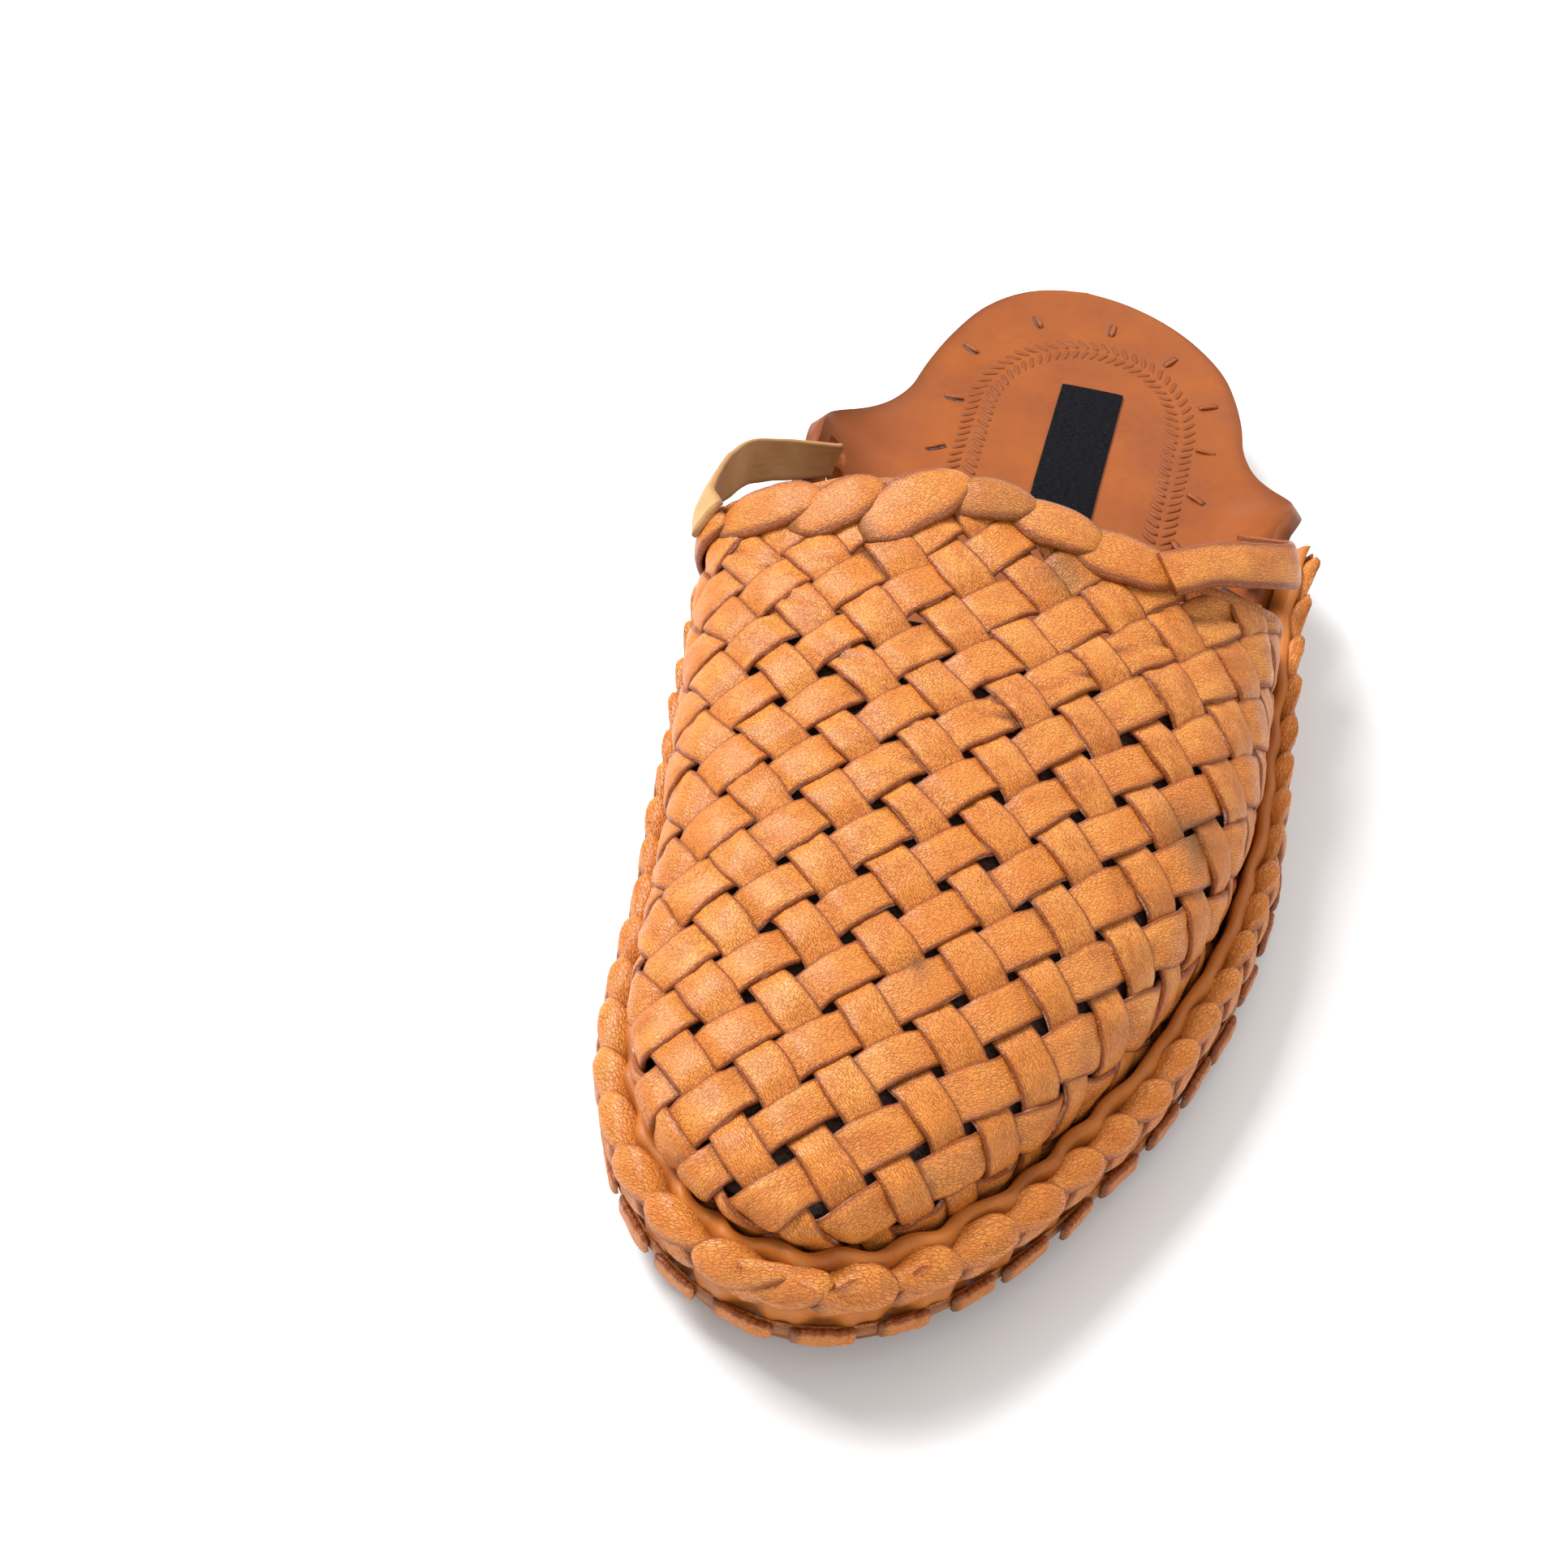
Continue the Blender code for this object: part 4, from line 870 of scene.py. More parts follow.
def make_side_band(finish, slit_shade_finish):
    """The band on the sole's edge, drawn in and puckered where the lace goes through it."""
    batch = Batch()
    slits = Batch()
    lat, lift = section(34, 0.4)
    run = np.linspace(0, EDGE_LENGTH, 1200)[:, None]
    tabs = round(EDGE_LENGTH / TAB_PITCH)
    pitch = EDGE_LENGTH / tabs
    off = ((run / pitch) % 1 - 0.5) * pitch
    up = (GAP + BAND_TOP) / 2 + (BAND_TOP - GAP) / 2 * lift + 0 * run
    drawn = 0.0010 * np.exp(-((off / 0.0020) ** 2)) * np.exp(-(((up - 0.0048) / 0.0024) ** 2))
    pucker = 0.0004 * np.cos(2 * math.pi * off / 0.0042) * np.exp(-((off / 0.0045) ** 2))
    swell = 0.00045 * wobble(run, 41, 0.017) + 0.0003 * (1 - lift**2)
    out = BAND_OUT + BAND_THICK / 2 * lat + (swell + pucker - drawn) * (lat > 0) - drawn_in(run, up)
    grid = edge(edge_w(run) + 0 * lat, out, up + 0.0004 * wobble(run, 42, 0.03) * (lift > 0))
    # Painted shade: the band is coloured darker where it is drawn in round each lace hole
    values = strip_values(run + 0 * lat, up, 5, np.abs(lift) ** 6 + 0 * run, drawn / 0.0010, 0.0)
    batch.tube(grid, **values)
    add_piece("leather_side_band", batch.mesh("leather_side_band"), finish, ("side_band",))

    def beside(run, up, height):
        """Surface of the band's outer side."""
        return edge(edge_w(run), BAND_OUT + BAND_THICK / 2 - drawn_in(run, up) + height, up)

    # Painted shade: each lace hole's slit is a dark patch on the band's outer side
    for k in range(tabs):
        middle = (k + 0.5) * pitch
        leaf(slits, beside, (middle - 0.0013, 0.0050), (middle + 0.0015, 0.0066), 0.0011,
             (-0.0008, -0.0008), 950 + k, thick=0.0006, crowned=0.0, rows=9, around=8)
    add_piece("band_slit_shade", slits.mesh("band_slit_shade"), slit_shade_finish)


def make_sole_lace(finish):
    """Flat lace on the sole's edge: a ragged tab at each stitch, and the thin run behind them."""
    batch = Batch()
    inner = BAND_OUT + BAND_THICK / 2 + EDGE_GAP

    def beside(run, up, height):
        """Surface of the band's outer side, its edges frayed."""
        frayed = 0.0003 * wobble(run, 58, 0.0031) + 0.0002 * wobble(run, 59, 0.0012)
        return edge(edge_w(run), inner - drawn_in(run, up) + height, up + frayed * (up > 0.0025))

    tabs = round(EDGE_LENGTH / TAB_PITCH)
    pitch = EDGE_LENGTH / tabs
    draw = np.random.default_rng(9)
    for k in range(tabs):
        jitter = draw.normal(0, 1, 5)
        centre = (k + 0.5) * pitch + 0.0005 * jitter[0]
        half = TAB_LENGTH / 2 * (1 + 0.08 * jitter[1])
        up = TAB_HEIGHT / 2 + 0.0001
        leaf(batch, beside, (centre - half, up), (centre + half, up + 0.0003 * jitter[2]),
             TAB_HEIGHT * (1 + 0.07 * jitter[3]), (0.0007 + 0.0003 * jitter[4], 0.0008), 700 + 5 * k,
             thick=0.0013, blunt=8.0, crowned=0.0004, rows=37, around=18)
    run = np.linspace(0, EDGE_LENGTH, 500)
    # Painted shade: the thin run shows only between the tabs, and is coloured darker for it
    rim_tube(batch, run, inner - drawn_in(run, 0.002), np.full_like(run, GAP + TAB_HEIGHT * 0.4),
             0.0008, TAB_HEIGHT * 0.75, 12, 0.6, 51, stain_and_shade=0.6)
    add_piece("edge_lace", batch.mesh("edge_lace"), finish, ("sole_lace",))


def slab(batch, t, inset, low, high, around, seed, wave):
    """Flat layer of the sole: a superellipse section across it at each share t of the length."""
    lat, lift = section(around, 0.28)
    centre = (outline(t, -1.0) + outline(t, 1.0)) / 2
    half = (outline(t, 1.0) - outline(t, -1.0))[:, 0] / 2 - inset
    t = t[:, None]
    y = centre[:, 1, None] + 0 * lat
    ripple = wave * wobble(t * LENGTH + 0.03 * np.sign(lat), seed, 0.019) * np.abs(lat) ** 8
    x = centre[:, 0, None] + lat * (half[:, None] + ripple)
    z = (low + high)[:, None] / 2 + (high - low)[:, None] / 2 * lift
    grid = np.stack([x, y, z], axis=-1)
    side = np.abs(lat) ** 8 + 0 * t
    values = strip_values(t * LENGTH + 0 * lat, x, seed, side, 0.0, 0.0)
    batch.tube(grid, **values)


def make_sole(finish, heel_finish):
    """The sole leather and the heel block."""
    t = sole_stations(6)
    low = underside(t)
    batch = Batch()
    slab(batch, t, 0.0, low, low + OUTSOLE, 120, 61, 0.0003)
    add_piece("leather_outsole", batch.mesh("leather_outsole"), finish, ("outsole",))
    t = t[t > HEEL_BREAST]
    batch = Batch()
    slab(batch, t, LIFT_INSET, np.zeros_like(t), underside(t) - GAP, 120, 63, 0.0)
    add_piece("stacked_heel", batch.mesh("stacked_heel"), heel_finish, ("heel_lift",))


def footbed_point(t, across):
    """Top of the footbed: flat in the middle, curling up to its edge at the ears."""
    inward = smooth(t, FOOTBED_EDGE[:, 0], FOOTBED_EDGE[:, 1])
    inside_wall = UPPER_OUT - WALL_INSIDE - WALL_CLEAR
    out = inward * inside_wall - (1 - inward) * FOOTBED_INSET
    up = SEAT_GAP + FOOTBED + RIM_UP * smooth(t, FOOTBED_EDGE[:, 0], FOOTBED_EDGE[:, 2])
    side = np.where(across < 0, -1.0, 1.0)
    rim = edge(side * np.sqrt(t), out, up, 1.0)
    centre = outline(t, -1.0) / 2 + outline(t, 1.0) / 2
    share = np.abs(across)
    plan = centre + share[..., None] * (rim[..., :2] - centre)
    flat = underside(t) + OUTSOLE + SEAT_GAP + FOOTBED
    curl = np.clip((share - FOOTBED_FLAT) / (1 - FOOTBED_FLAT), 0, 1) ** FOOTBED_CURL
    height = flat + (rim[..., 2] - flat) * curl
    return np.concatenate([plan, height[..., None]], axis=-1)


def make_footbed(finish):
    """The inner sole with its ears: top, rounded edge and underside as one closed surface."""
    t = sole_stations(5)
    t = t[t > FOOTBED_START][:, None]
    across = np.sin(np.linspace(-math.pi / 2, math.pi / 2, 71))
    top = footbed_point(t + 0 * across, across + 0 * t)
    by_t = np.gradient(top, axis=0)
    by_across = np.gradient(top, axis=1)
    normal = np.cross(by_across, by_t)
    normal /= np.linalg.norm(normal, axis=-1, keepdims=True)
    upright = ease(t, 0.90, 0.96)[..., None]
    normal = normal * (1 - upright) + np.array([0.0, 0.0, 1.0]) * upright
    bottom = top - normal * FOOTBED
    grid = np.concatenate([top, bottom[:, ::-1]], axis=1)
    wear = np.concatenate([np.abs(across) ** 14, np.abs(across[::-1]) ** 14]) + 0 * t
    values = strip_values(grid[..., 1], grid[..., 0], 6, wear, 0.0, 0.0)
    batch = Batch()
    batch.tube(grid, **values)
    piece = add_piece("leather_footbed", batch.mesh("leather_footbed"), finish, ("footbed",))
    for share, place in EAR_HOLES:
        cut_round_hole(piece, footbed_point(np.array([share]), np.array([place]))[0] + SHIFT)
    return piece


def bed_surface(x, y, height):
    """Flat part of the footbed's top, raised by a height."""
    return np.stack([x, y, underside(y / LENGTH + 0.5) + OUTSOLE + SEAT_GAP + FOOTBED + height], axis=-1)


def border_place(run, out):
    """Point of the stamped border: an arch round the heel seat with two straight legs.

    The run goes from the medial leg's end over the arch to the lateral leg's end.
    """
    arch = math.pi * BORDER_HALF
    turn = np.clip((run - BORDER_LEG) / BORDER_HALF, 0, math.pi)
    leg = np.maximum(BORDER_LEG - run, 0) + np.maximum(run - BORDER_LEG - arch, 0)
    x = BORDER_MIDDLE[0] - (BORDER_HALF + out) * np.cos(turn)
    y = BORDER_MIDDLE[1] + (BORDER_RISE + out) * np.sin(turn) - leg
    return np.array([x, y])


def make_stamped_border(finish):
    """Two rows of small crescents leaning towards each other."""
    batch = Batch()
    length = 2 * BORDER_LEG + math.pi * BORDER_HALF
    count = round(length / BORDER_PITCH)
    for k in range(count):
        run = (k + 0.5) * length / count
        for row, (out, lean) in enumerate(((0.0010, 0.0011), (-0.0026, -0.0011))):
            start = border_place(run - lean, out + 0.0015)
            end = border_place(run + lean, out - 0.0015)
            leaf(batch, bed_surface, start, end, 0.0011, (0.0, 0.0), 2000 + 2 * k + row, thick=0.0002,
                 crowned=0.0001, stain_and_shade=0.45, rows=9, around=8)
    add_piece("stamped_border", batch.mesh("stamped_border"), finish)


def make_slits(finish, lip_finish):
    """Short slits round the heel seat, each a dark patch of painted shade, with a raised lip."""
    slits, lips = Batch(), Batch()
    for k, (x, y) in enumerate(BED_SLITS * MM):
        place = np.array([x, y])
        inward = BED_MIDDLE * MM - place
        inward /= np.linalg.norm(inward)
        beside = np.array([-inward[1], inward[0]])
        start, end = place - inward * 0.0024, place + inward * 0.0024
        # Painted shade: the slit is a dark patch lying on the footbed
        leaf(slits, bed_surface, start, end, 0.0009, (0.00004, 0.00004), 1900 + k, thick=0.0002,
             crowned=0.0, rows=11, around=8)
        leaf(lips, bed_surface, start + beside * 0.0007, end + beside * 0.0006, 0.0012, (0.0, 0.0002),
             1950 + k, thick=0.0006, crowned=0.0003, rows=13, around=10)
    add_piece("bed_slit_shade", slits.mesh("bed_slit_shade"), finish)
    add_piece("slit_lips", lips.mesh("slit_lips"), lip_finish)


def cut_round_hole(piece, place):
    """Cuts one round hole through a piece, across the ear, and keeps the result as its mesh."""
    bpy.ops.mesh.primitive_cylinder_add(vertices=32, radius=EAR_HOLE / 2, depth=0.03, location=place,
                                        rotation=(0, EAR_HOLE_TURN, 0))
    cutter = bpy.context.object
    cut = piece.modifiers.new("hole", "BOOLEAN")
    cut.operation = "DIFFERENCE"
    cut.object = cutter
    mesh = bpy.data.meshes.new_from_object(piece.evaluated_get(bpy.context.evaluated_depsgraph_get()))
    piece.modifiers.clear()
    piece.data = mesh
    bpy.data.objects.remove(cutter)


def carry(batch, points, facing, width, thick, seed, stain_and_shade=0.0, curl=0.0006, rows=90, wear=5):
    """Flat strap along a smooth curve through its points, facing the given way at each."""
    knots = np.linspace(0, 1, len(points))
    fine = np.linspace(0, 1, rows)
    path = np.stack([smooth(fine, knots, points[:, k]) for k in range(3)], axis=1)
    for _ in range(6):
        path[1:-1] = (path[:-2] + 2 * path[1:-1] + path[2:]) / 4
    face = np.stack([smooth(fine, knots, facing[:, k]) for k in range(3)], axis=1)
    run = np.gradient(path, axis=0)
    step = np.linalg.norm(run, axis=1)
    run /= step[:, None]
    across = np.cross(run, face)
    across /= np.linalg.norm(across, axis=1, keepdims=True)
    up = np.cross(across, run)
    lat, lift = section(18, 0.45)
    along = np.cumsum(step)[:, None]
    half = width / 2 * (1 + 0.03 * wobble(along, seed, 0.02))
    height = thick / 2 * lift - curl * lat**2 + 0.0002 * lat * wobble(along, seed + 1, 0.018)
    grid = (path[:, None] + across[:, None] * (lat * half)[..., None] + up[:, None] * height[..., None])
    values = strip_values(along + 0 * lat, lat * half, seed, np.abs(lat) ** wear + 0 * along, 0.0, stain_and_shade)
    batch.tube(grid, **values)


def strap_path(vamp, places):
    """Points and facings of a strap from over the collar's edge to the inner face of an ear."""
    clear = WALL_OUTSIDE + COLLAR_FOLD + STRAP_THICK / 2 + 4 * GAP
    start, middle, behind, end = places
    leaves = vamp.collar(np.array([start]))[0]
    passes = vamp.collar(np.array([middle]))[0] + np.array([0.0, behind])
    run = (passes - leaves) / np.linalg.norm(passes - leaves)
    points = []
    facing = []
    for flat in (leaves - run * STRAP_LAP, leaves + run * STRAP_LAP / 2, passes):
        here = vamp.at(flat[:1], flat[1:], np.array([clear]))[0]
        points.append(here)
        facing.append(vamp.at(flat[:1], flat[1:], np.array([clear + 1.0]))[0] - here)
    side = math.copysign(1.0, end)
    w = np.array([side * math.sqrt(abs(end))])
    points.append(edge(w, np.array([STRAP_OUT + STRAP_SNUG]), np.array([STRAP_END_UP - STRAP_SNUG]), 1.0)[0])
    facing.append(np.array([side, 0.0, STRAP_LEAN]))
    return np.array(points), np.array(facing)


def make_straps(vamp, strip_finish, pale_finish):
    """The pale strap to the medial ear and the free strap to the lateral ear."""
    medial = strap_path(vamp, EAR_STRAP)
    batch = Batch()
    carry(batch, *medial, STRAP_WIDTH, STRAP_THICK, 81)
    add_piece("pale_ear_strap", batch.mesh("pale_ear_strap"), pale_finish, ("ear_strap",))
    lateral = strap_path(vamp, COLLAR_STRAP)
    batch = Batch()
    carry(batch, *lateral, STRAP_WIDTH, STRAP_THICK, 83)
    add_piece("free_collar_strap", batch.mesh("free_collar_strap"), strip_finish,
              ("collar_strap",))


def make_label(finish):
    """Blank woven patch lying on the heel seat, a little thinner at its long edges."""
    width, length, thick = LABEL
    lat, lift = section(40, 0.35)
    along = np.linspace(-length / 2, length / 2, 120)[:, None]
    x = lat * width / 2 + 0.00003 * wobble(along, 91, 0.012) * np.abs(lat)
    y = along + 0 * lat
    height = thick / 2 * lift * (1 - 0.25 * np.abs(lat) ** 4) + 0 * along
    turned_x = x * math.cos(LABEL_TURN) - y * math.sin(LABEL_TURN) + LABEL_PLACE[0] * BALL_WIDTH
    turned_y = x * math.sin(LABEL_TURN) + y * math.cos(LABEL_TURN) + (LABEL_PLACE[1] - 0.5) * LENGTH
    seat = underside(turned_y / LENGTH + 0.5) + OUTSOLE + SEAT_GAP + FOOTBED
    grid = np.stack([turned_x, turned_y, seat + 0.0001 + thick / 2 + height], axis=-1)
    batch = Batch()
    batch.tube(grid, **strip_values(along + 0 * lat, x, 8, np.abs(lat) ** 8 + 0 * along, 0.0, 0.0))
    add_piece("blank_label", batch.mesh("blank_label"), finish, ("label_patch",))


def make_shade_sheet(vamp, finish):
    """Dark sheet just under the weave, from the toe back over the ball: painted shade for the toe's inside, seen
    through the gaps between the strips.
    """
    border = vamp.border()
    rows, columns = 40, 160
    centre = np.array([0.0, 0.018])
    turn = np.linspace(0, 2 * math.pi, columns, endpoint=False)
    away = border - centre
    angles = np.arctan2(away[:, 1], away[:, 0])
    order = np.argsort(angles)
    reach = np.interp(turn, angles[order], np.hypot(*away[order].T), period=2 * math.pi)
    share = np.linspace(0.02, 0.97, rows)[:, None]
    across = centre[0] + share * reach * np.cos(turn)
    along = np.minimum(centre[1] + share * reach * np.sin(turn), 0.078)
    upper = vamp.at(across, along, np.full(across.shape, -0.0024))
    lower = vamp.at(across, along, np.full(across.shape, -0.0030))
    grid = np.concatenate([upper, lower[::-1]])
    values = strip_values(np.concatenate([along, along[::-1]]), np.concatenate([across, across[::-1]]), 9,
                          0.0, 0.0, 0.0)
    batch = Batch()
    batch.tube(grid, **values)
    add_piece("painted_shade_sheet", batch.mesh("painted_shade_sheet"), finish)


class Graph:
    """A material's nodes, made in one short call each."""

    def __init__(self, name):
        self.material = bpy.data.materials.new(name)
        self.material.use_nodes = True
        self.nodes = self.material.node_tree.nodes
        self.links = self.material.node_tree.links
        self.shader = self.nodes["Principled BSDF"]

    def put(self, socket, value):
        """A link where the value is a socket, a setting where it is a number."""
        if isinstance(value, bpy.types.NodeSocket):
            self.links.new(value, socket)
        else:
            socket.default_value = value

    def attribute(self, name, output="Fac"):
        node = self.nodes.new("ShaderNodeAttribute")
        node.attribute_name = name
        return node.outputs[output]

    def place(self):
        return self.nodes.new("ShaderNodeTexCoord").outputs["Object"]

    def scaled(self, vector, scale, turn=(0, 0, 0)):
        node = self.nodes.new("ShaderNodeMapping")
        self.put(node.inputs["Vector"], vector)
        node.inputs["Scale"].default_value = scale
        node.inputs["Rotation"].default_value = turn
        return node.outputs["Vector"]

    def noise(self, vector, scale, detail=2.0, rough=0.5):
        node = self.nodes.new("ShaderNodeTexNoise")
        self.put(node.inputs["Vector"], vector)
        node.inputs["Scale"].default_value = scale
        node.inputs["Detail"].default_value = detail
        node.inputs["Roughness"].default_value = rough
        return node.outputs["Fac"]

    def cells(self, vector, scale, feature="F1"):
        node = self.nodes.new("ShaderNodeTexVoronoi")
        node.feature = feature
        self.put(node.inputs["Vector"], vector)
        node.inputs["Scale"].default_value = scale
        return node.outputs["Distance"]

    def ramp(self, value, low, high, to_low=0.0, to_high=1.0):
        node = self.nodes.new("ShaderNodeMapRange")
        node.interpolation_type = "SMOOTHSTEP"
        self.put(node.inputs["Value"], value)
        node.inputs["From Min"].default_value = low
        node.inputs["From Max"].default_value = high
        node.inputs["To Min"].default_value = to_low
        node.inputs["To Max"].default_value = to_high
        return node.outputs["Result"]

    def math(self, operation, one, two=0.0):
        node = self.nodes.new("ShaderNodeMath")
        node.operation = operation
        self.put(node.inputs[0], one)
        self.put(node.inputs[1], two)
        return node.outputs[0]

    def mix(self, share, one, two, blend="MIX"):
        node = self.nodes.new("ShaderNodeMix")
        node.data_type = "RGBA"
        node.blend_type = blend
        self.put(node.inputs[0], share)
        for socket, colour in ((node.inputs[6], one), (node.inputs[7], two)):
            self.put(socket, (*colour, 1) if isinstance(colour, tuple) else colour)
        return node.outputs[2]

    def bump(self, height, distance, strength, normal=None):
        node = self.nodes.new("ShaderNodeBump")
        self.put(node.inputs["Height"], height)
        node.inputs["Distance"].default_value = distance
        node.inputs["Strength"].default_value = strength
        if normal is not None:
            self.links.new(normal, node.inputs["Normal"])
        return node.outputs["Normal"]

    def finish(self, colour, rough, normal, coat=0.0, coat_rough=0.3, specular=0.5):
        self.put(self.shader.inputs["Base Color"], colour)
        self.put(self.shader.inputs["Roughness"], rough)
        self.put(self.shader.inputs["Normal"], normal)
        self.shader.inputs["Coat Weight"].default_value = coat
        self.shader.inputs["Coat Roughness"].default_value = coat_rough
        self.shader.inputs["Specular IOR Level"].default_value = specular
        return self.material


def strip_leather():
    """Tan strip leather: fine cracks along the strip, pores, burnt edges and some raw cut sides."""
    g = Graph("strip_leather_fine")
    grain = g.attribute("grain", "Vector")
    wrinkle = g.noise(g.scaled(grain, (900, 3000, 1), (0, 0, 0.25)), 1.0, 2.0, 0.6)
    cracks = g.cells(g.scaled(grain, (900, 2700, 1), (0, 0, -0.2)), 1.0, "DISTANCE_TO_EDGE")
    patchy = g.noise(g.scaled(grain, (150, 220, 1)), 1.0, 3.0, 0.6)
    crack_line = g.ramp(cracks, 0.0, 0.14)
    mottle = g.noise(g.scaled(grain, (110, 190, 1)), 1.0, 5.0, 0.65)
    broad = g.noise(g.place(), 30.0, 2.0, 0.5)
    pores = g.ramp(g.cells(g.scaled(grain, (1000, 2400, 1), (0, 0, 0.25)), 1.0), 0.10, 0.26)
    colour = g.mix(g.ramp(mottle, 0.30, 0.70), STRIP_DEEP, STRIP_LIGHT)
    colour = g.mix(g.ramp(g.attribute("tone"), 0.0, 1.0, 0.0, 0.45), colour, STRIP_ORANGE)
    colour = g.mix(g.ramp(broad, 0.40, 0.72, 0.0, 0.55), colour, STRIP_ORANGE)
    open_crack = g.math("MULTIPLY", g.ramp(crack_line, 0.0, 1.0, 1.0, 0.0), g.ramp(patchy, 0.40, 0.62, 0.08, 0.50))
    colour = g.mix(open_crack, colour, STRIP_BURNT)
    speck = g.math("MULTIPLY", g.ramp(pores, 0.0, 1.0, 1.0, 0.0), g.ramp(patchy, 0.35, 0.6, 0.65, 0.15))
    colour = g.mix(speck, colour, STRIP_BURNT)
    worn = g.math("MULTIPLY", g.attribute("wear"), g.ramp(mottle, 0.25, 0.6, 0.55, 1.0))
    colour = g.mix(g.ramp(worn, 0.02, 0.5, 0.0, 1.0), colour, STRIP_BURNT)
    # Painted shade: darker where a strip dives under its neighbours or a leaf tucks under one
    colour = g.mix(g.ramp(g.attribute("painted_shade"), 0.15, 1.0, 0.0, 0.85), colour, STRIP_PAINTED_SHADE)
    raw = g.math("MULTIPLY", g.attribute("cut"), g.ramp(patchy, 0.52, 0.62))
    colour = g.mix(g.math("MULTIPLY", raw, 0.8), colour, STRIP_RAW)
    # Brown of real stains, and painted shade on the parts that lie behind or under others
    brown = g.math("MULTIPLY", g.attribute("stain_and_shade"), g.ramp(mottle, 0.2, 0.6, 0.6, 1.0))
    colour = g.mix(brown, colour, STRIP_STAIN_AND_SHADE)
    height = g.math("ADD", g.math("MULTIPLY", wrinkle, 0.65), g.math("MULTIPLY", crack_line, 0.30))
    height = g.math("ADD", height, g.math("MULTIPLY", pores, 0.25))
    normal = g.bump(height, 0.00040, 1.0)
    rough = g.ramp(g.noise(grain, 300.0, 2.0), 0.3, 0.7, 0.36, 0.55)
    return g.finish(colour, rough, normal, coat=0.12, coat_rough=0.28, specular=0.4)


def plain_leather(name, light, dark, fine, stretch, relief, rough_low, rough_high, coat=0.1):
    """Smooth leather in two tones, with fine grain and darker worn edges."""
    g = Graph(name)
    grain = g.attribute("grain", "Vector")
    lines = g.noise(g.scaled(grain, stretch), 1.0, 4.0, 0.6)
    mottle = g.noise(g.scaled(grain, (60, 60, 1)), 1.0, 5.0, 0.6)
    pores = g.ramp(g.cells(grain, fine), 0.08, 0.22)
    middle = tuple((a + b) / 2 for a, b in zip(light, dark))
    colour = g.mix(g.ramp(mottle, 0.3, 0.7), dark, light)
    colour = g.mix(g.ramp(lines, 0.35, 0.7, 0.0, 0.6), colour, middle)
    burnt = tuple(0.55 * c for c in dark)
    colour = g.mix(g.ramp(pores, 0.0, 1.0, 0.25, 0.0), colour, burnt)
    colour = g.mix(g.ramp(g.attribute("wear"), 0.1, 1.0, 0.0, 0.6), colour, burnt)
    # Painted shade: darker where a piece lies under others or is drawn in
    colour = g.mix(g.ramp(g.attribute("painted_shade"), 0.1, 1.0, 0.0, 0.8), colour, burnt)
    colour = g.mix(g.ramp(g.attribute("stain_and_shade"), 0.0, 1.0, 0.0, 0.7), colour, burnt)
    height = g.math("ADD", g.math("MULTIPLY", lines, 0.7), g.math("MULTIPLY", pores, 0.3))
    normal = g.bump(height, relief, 0.7)
    rough = g.ramp(mottle, 0.3, 0.7, rough_low, rough_high)
    return g.finish(colour, rough, normal, coat=coat, specular=0.22)


def label_cloth():
    """Black woven ribbon with a fine rib across it."""
    g = Graph("label_cloth")
    grain = g.attribute("grain", "Vector")
    rib = g.noise(g.scaled(grain, (3500, 900, 1)), 1.0, 2.0, 0.6)
    colour = g.mix(g.ramp(rib, 0.35, 0.65), (0.002, 0.002, 0.003), (0.008, 0.008, 0.011))
    normal = g.bump(rib, 0.0002, 0.8)
    return g.finish(colour, 0.85, normal, specular=0.08)


def painted_shade_leather():
    """Dark purple-brown leather with a pebbled grain, for painted shade: the sheet under the weave and the slits.
    """
    g = Graph("painted_shade_leather")
    grain = g.attribute("grain", "Vector")
    pebble = g.cells(grain, 900.0)
    colour = g.mix(g.ramp(pebble, 0.1, 0.6), (0.040, 0.016, 0.012), (0.085, 0.036, 0.026))
    normal = g.bump(pebble, 0.0003, 0.8)
    return g.finish(colour, 0.6, normal)


def make_floor():
    """Plain pale floor, wide enough to fill every view."""
    half = 3.0
    mesh = bpy.data.meshes.new("floor")
    mesh.from_pydata([(-half, -half, 0), (half, -half, 0), (half, half, 0), (-half, half, 0)], [], [(0, 1, 2, 3)])
    floor = bpy.data.objects.new("floor", mesh)
    bpy.context.scene.collection.objects.link(floor)
    g = Graph("pale_floor")
    speck = g.noise(g.place(), 6.0, 2.0)
    colour = g.mix(g.ramp(speck, 0.3, 0.7), (0.86, 0.86, 0.86), (0.88, 0.88, 0.88))
    mesh.materials.append(g.finish(colour, 0.8, g.bump(speck, 0.0001, 0.1), specular=0.2))


def make_camera():
    """Camera at the photograph's angle to the slipper."""
    turn, rise, roll = CAMERA_TURN, CAMERA_RISE, CAMERA_ROLL
    back = np.array([math.sin(turn) * math.cos(rise), -math.cos(turn) * math.cos(rise), math.sin(rise)])
    right = np.cross(-back, (0, 0, 1))
    right /= np.linalg.norm(right)
    up = np.cross(right, -back)
    rolled_right = right * math.cos(roll) + up * math.sin(roll)
    rolled_up = -right * math.sin(roll) + up * math.cos(roll)
    camera = bpy.data.objects.new("camera", bpy.data.cameras.new("camera"))
    bpy.context.scene.collection.objects.link(camera)
    turned = Matrix(np.stack([rolled_right, rolled_up, back], axis=1).tolist()).to_4x4()
    camera.matrix_world = Matrix.Translation((CAMERA_TARGET + SHIFT + back * CAMERA_DISTANCE).tolist()) @ turned
    camera.data.sensor_fit = "HORIZONTAL"
    camera.data.angle = CAMERA_ANGLE
    bpy.context.scene.camera = camera


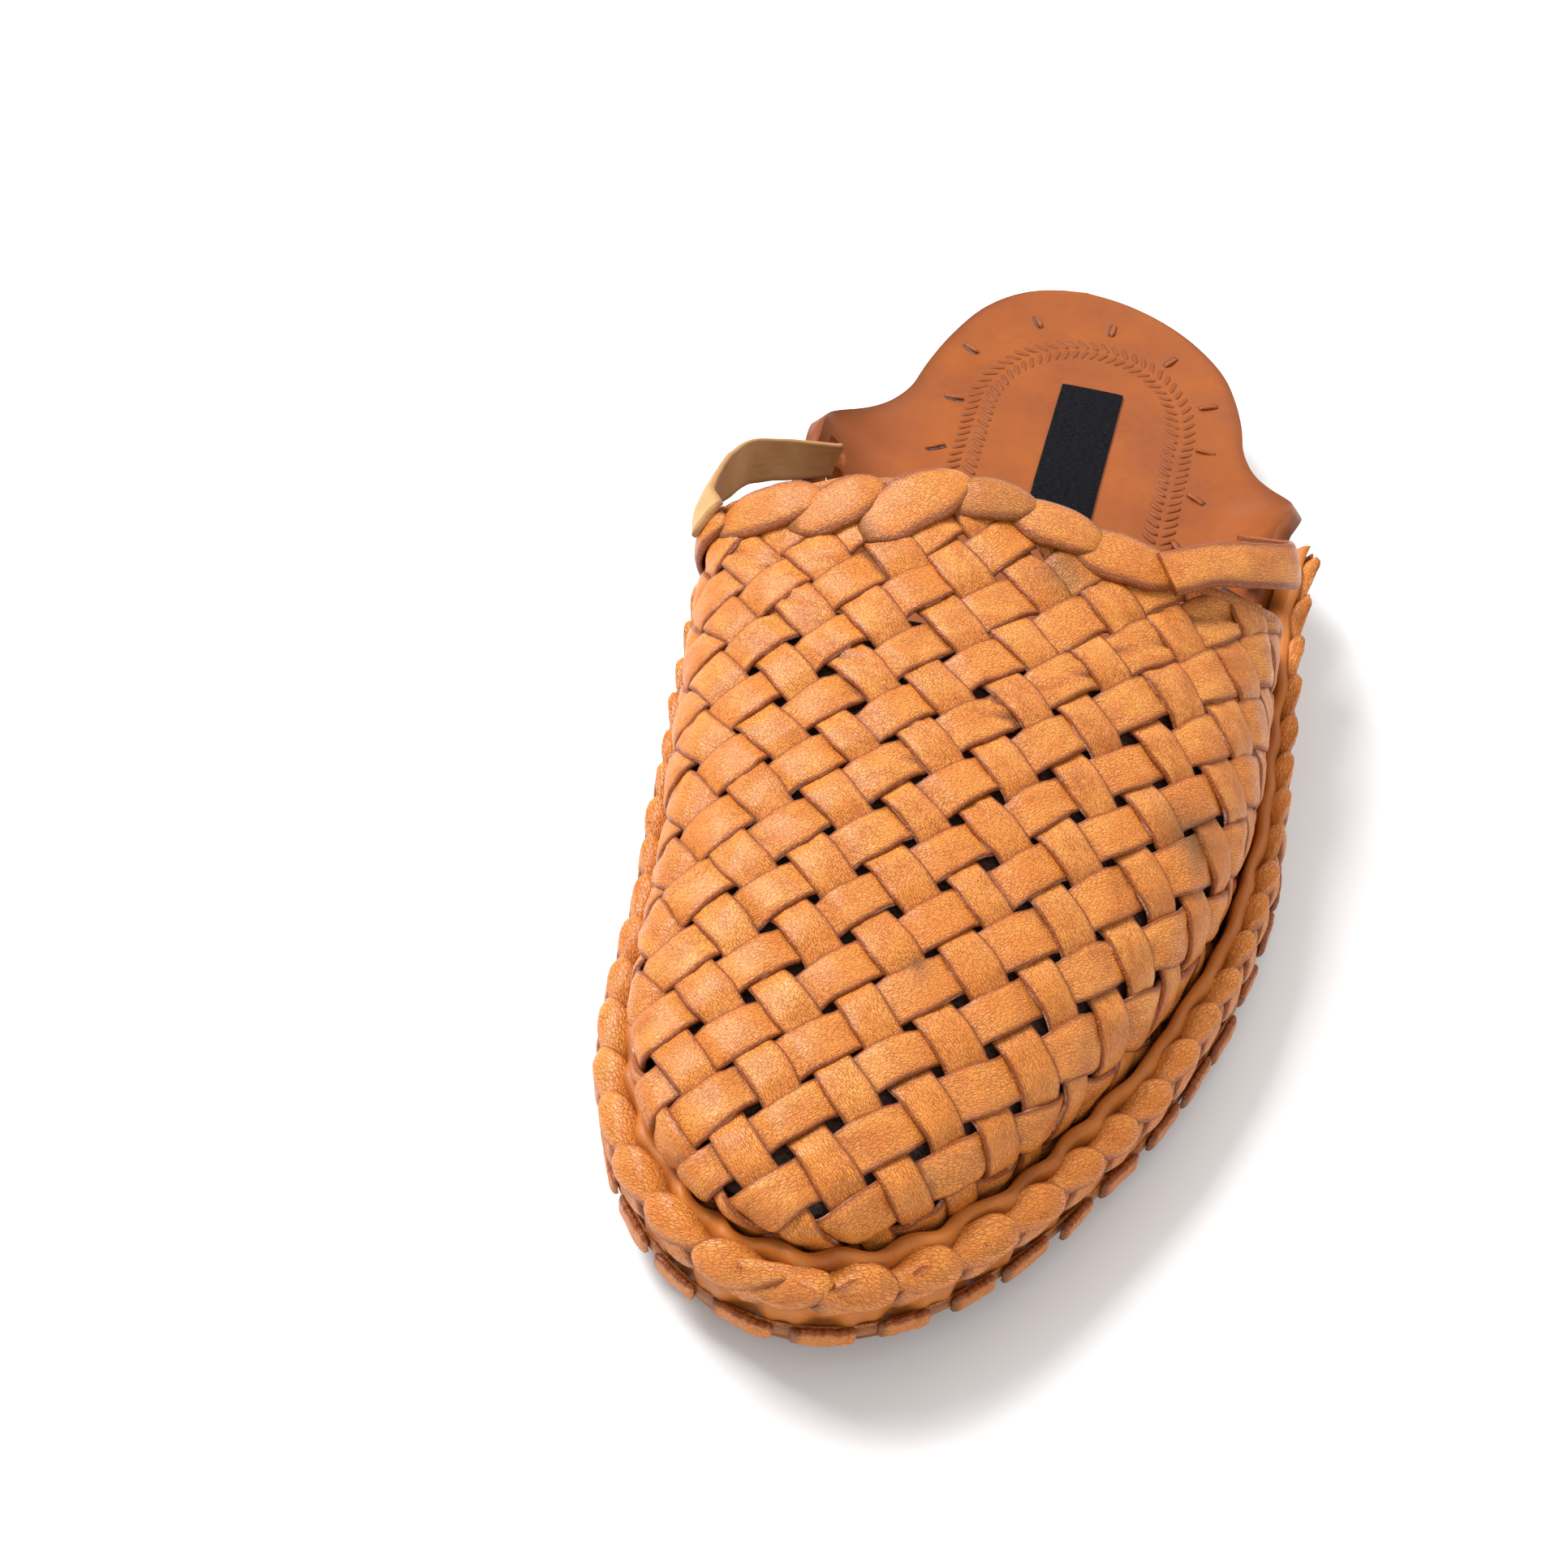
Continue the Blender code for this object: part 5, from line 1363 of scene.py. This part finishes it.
def make_light(name, place, target, size, watts, colour=(1, 1, 1)):
    """Soft square lamp turned towards a point."""
    data = bpy.data.lights.new(name, "AREA")
    data.size = size
    data.energy = watts
    data.color = colour
    lamp = bpy.data.objects.new(name, data)
    bpy.context.scene.collection.objects.link(lamp)
    place = np.array(place, float)
    back = place - np.array(target, float)
    back /= np.linalg.norm(back)
    right = np.cross((0, 0, 1), back)
    right /= np.linalg.norm(right)
    up = np.cross(back, right)
    turned = Matrix(np.stack([right, up, back], axis=1).tolist()).to_4x4()
    lamp.matrix_world = Matrix.Translation(place.tolist()) @ turned


def make_lights():
    """Soft studio light: a broad key from the upper left, a fill from the right and a pale world."""
    make_light("key", (-0.55, 0.20, 0.80), (0, 0, 0.02), 0.5, 14.5)
    make_light("fill", (0.6, -0.8, 0.6), (0, 0, 0.02), 0.9, 3)
    make_light("back", (0.3, 0.9, 0.8), (0, 0, 0.02), 0.8, 3)
    world = bpy.data.worlds.new("studio")
    world.use_nodes = True
    world.node_tree.nodes["Background"].inputs["Color"].default_value = (1, 1, 1, 1)
    world.node_tree.nodes["Background"].inputs["Strength"].default_value = 0.66
    bpy.context.scene.world = world
    bpy.context.scene.view_settings.view_transform = "Standard"


def main():
    make_camera()
    make_lights()
    make_floor()
    strips = strip_leather()
    band = plain_leather("band_leather_fine", (0.52, 0.165, 0.026), (0.35, 0.095, 0.014), 1200.0,
                         (160, 1500, 1), 0.00016, 0.40, 0.55)
    insole = plain_leather("footbed_leather_fine", (0.30, 0.072, 0.007), (0.22, 0.048, 0.0045), 1500.0,
                           (500, 500, 1), 0.00008, 0.45, 0.58, coat=0.08)
    outsole = plain_leather("sole_leather_fine", (0.34, 0.112, 0.027), (0.25, 0.078, 0.017), 1000.0,
                            (300, 300, 1), 0.00012, 0.45, 0.6)
    heel = plain_leather("heel_leather_fine", (0.40, 0.145, 0.036), (0.28, 0.085, 0.019), 1000.0,
                         (200, 2500, 1), 0.0002, 0.5, 0.65)
    pale = plain_leather("pale_flesh_side", (0.62, 0.350, 0.160), (0.45, 0.220, 0.080), 1500.0,
                         (300, 1500, 1), 0.00016, 0.6, 0.75, coat=0.0)
    # Painted shade: the dark sheet under the weave and the dark slits share this finish
    dark = painted_shade_leather()
    vamp = Vamp()
    make_weave(vamp, strips)
    make_collar(vamp, strips)
    make_rand(band)
    make_braid(strips)
    make_side_band(band, dark)
    make_sole_lace(strips)
    make_sole(outsole, heel)
    make_footbed(insole)
    make_stamped_border(insole)
    make_slits(dark, insole)
    make_straps(vamp, strips, pale)
    make_label(label_cloth())
    make_shade_sheet(vamp, dark)


main()
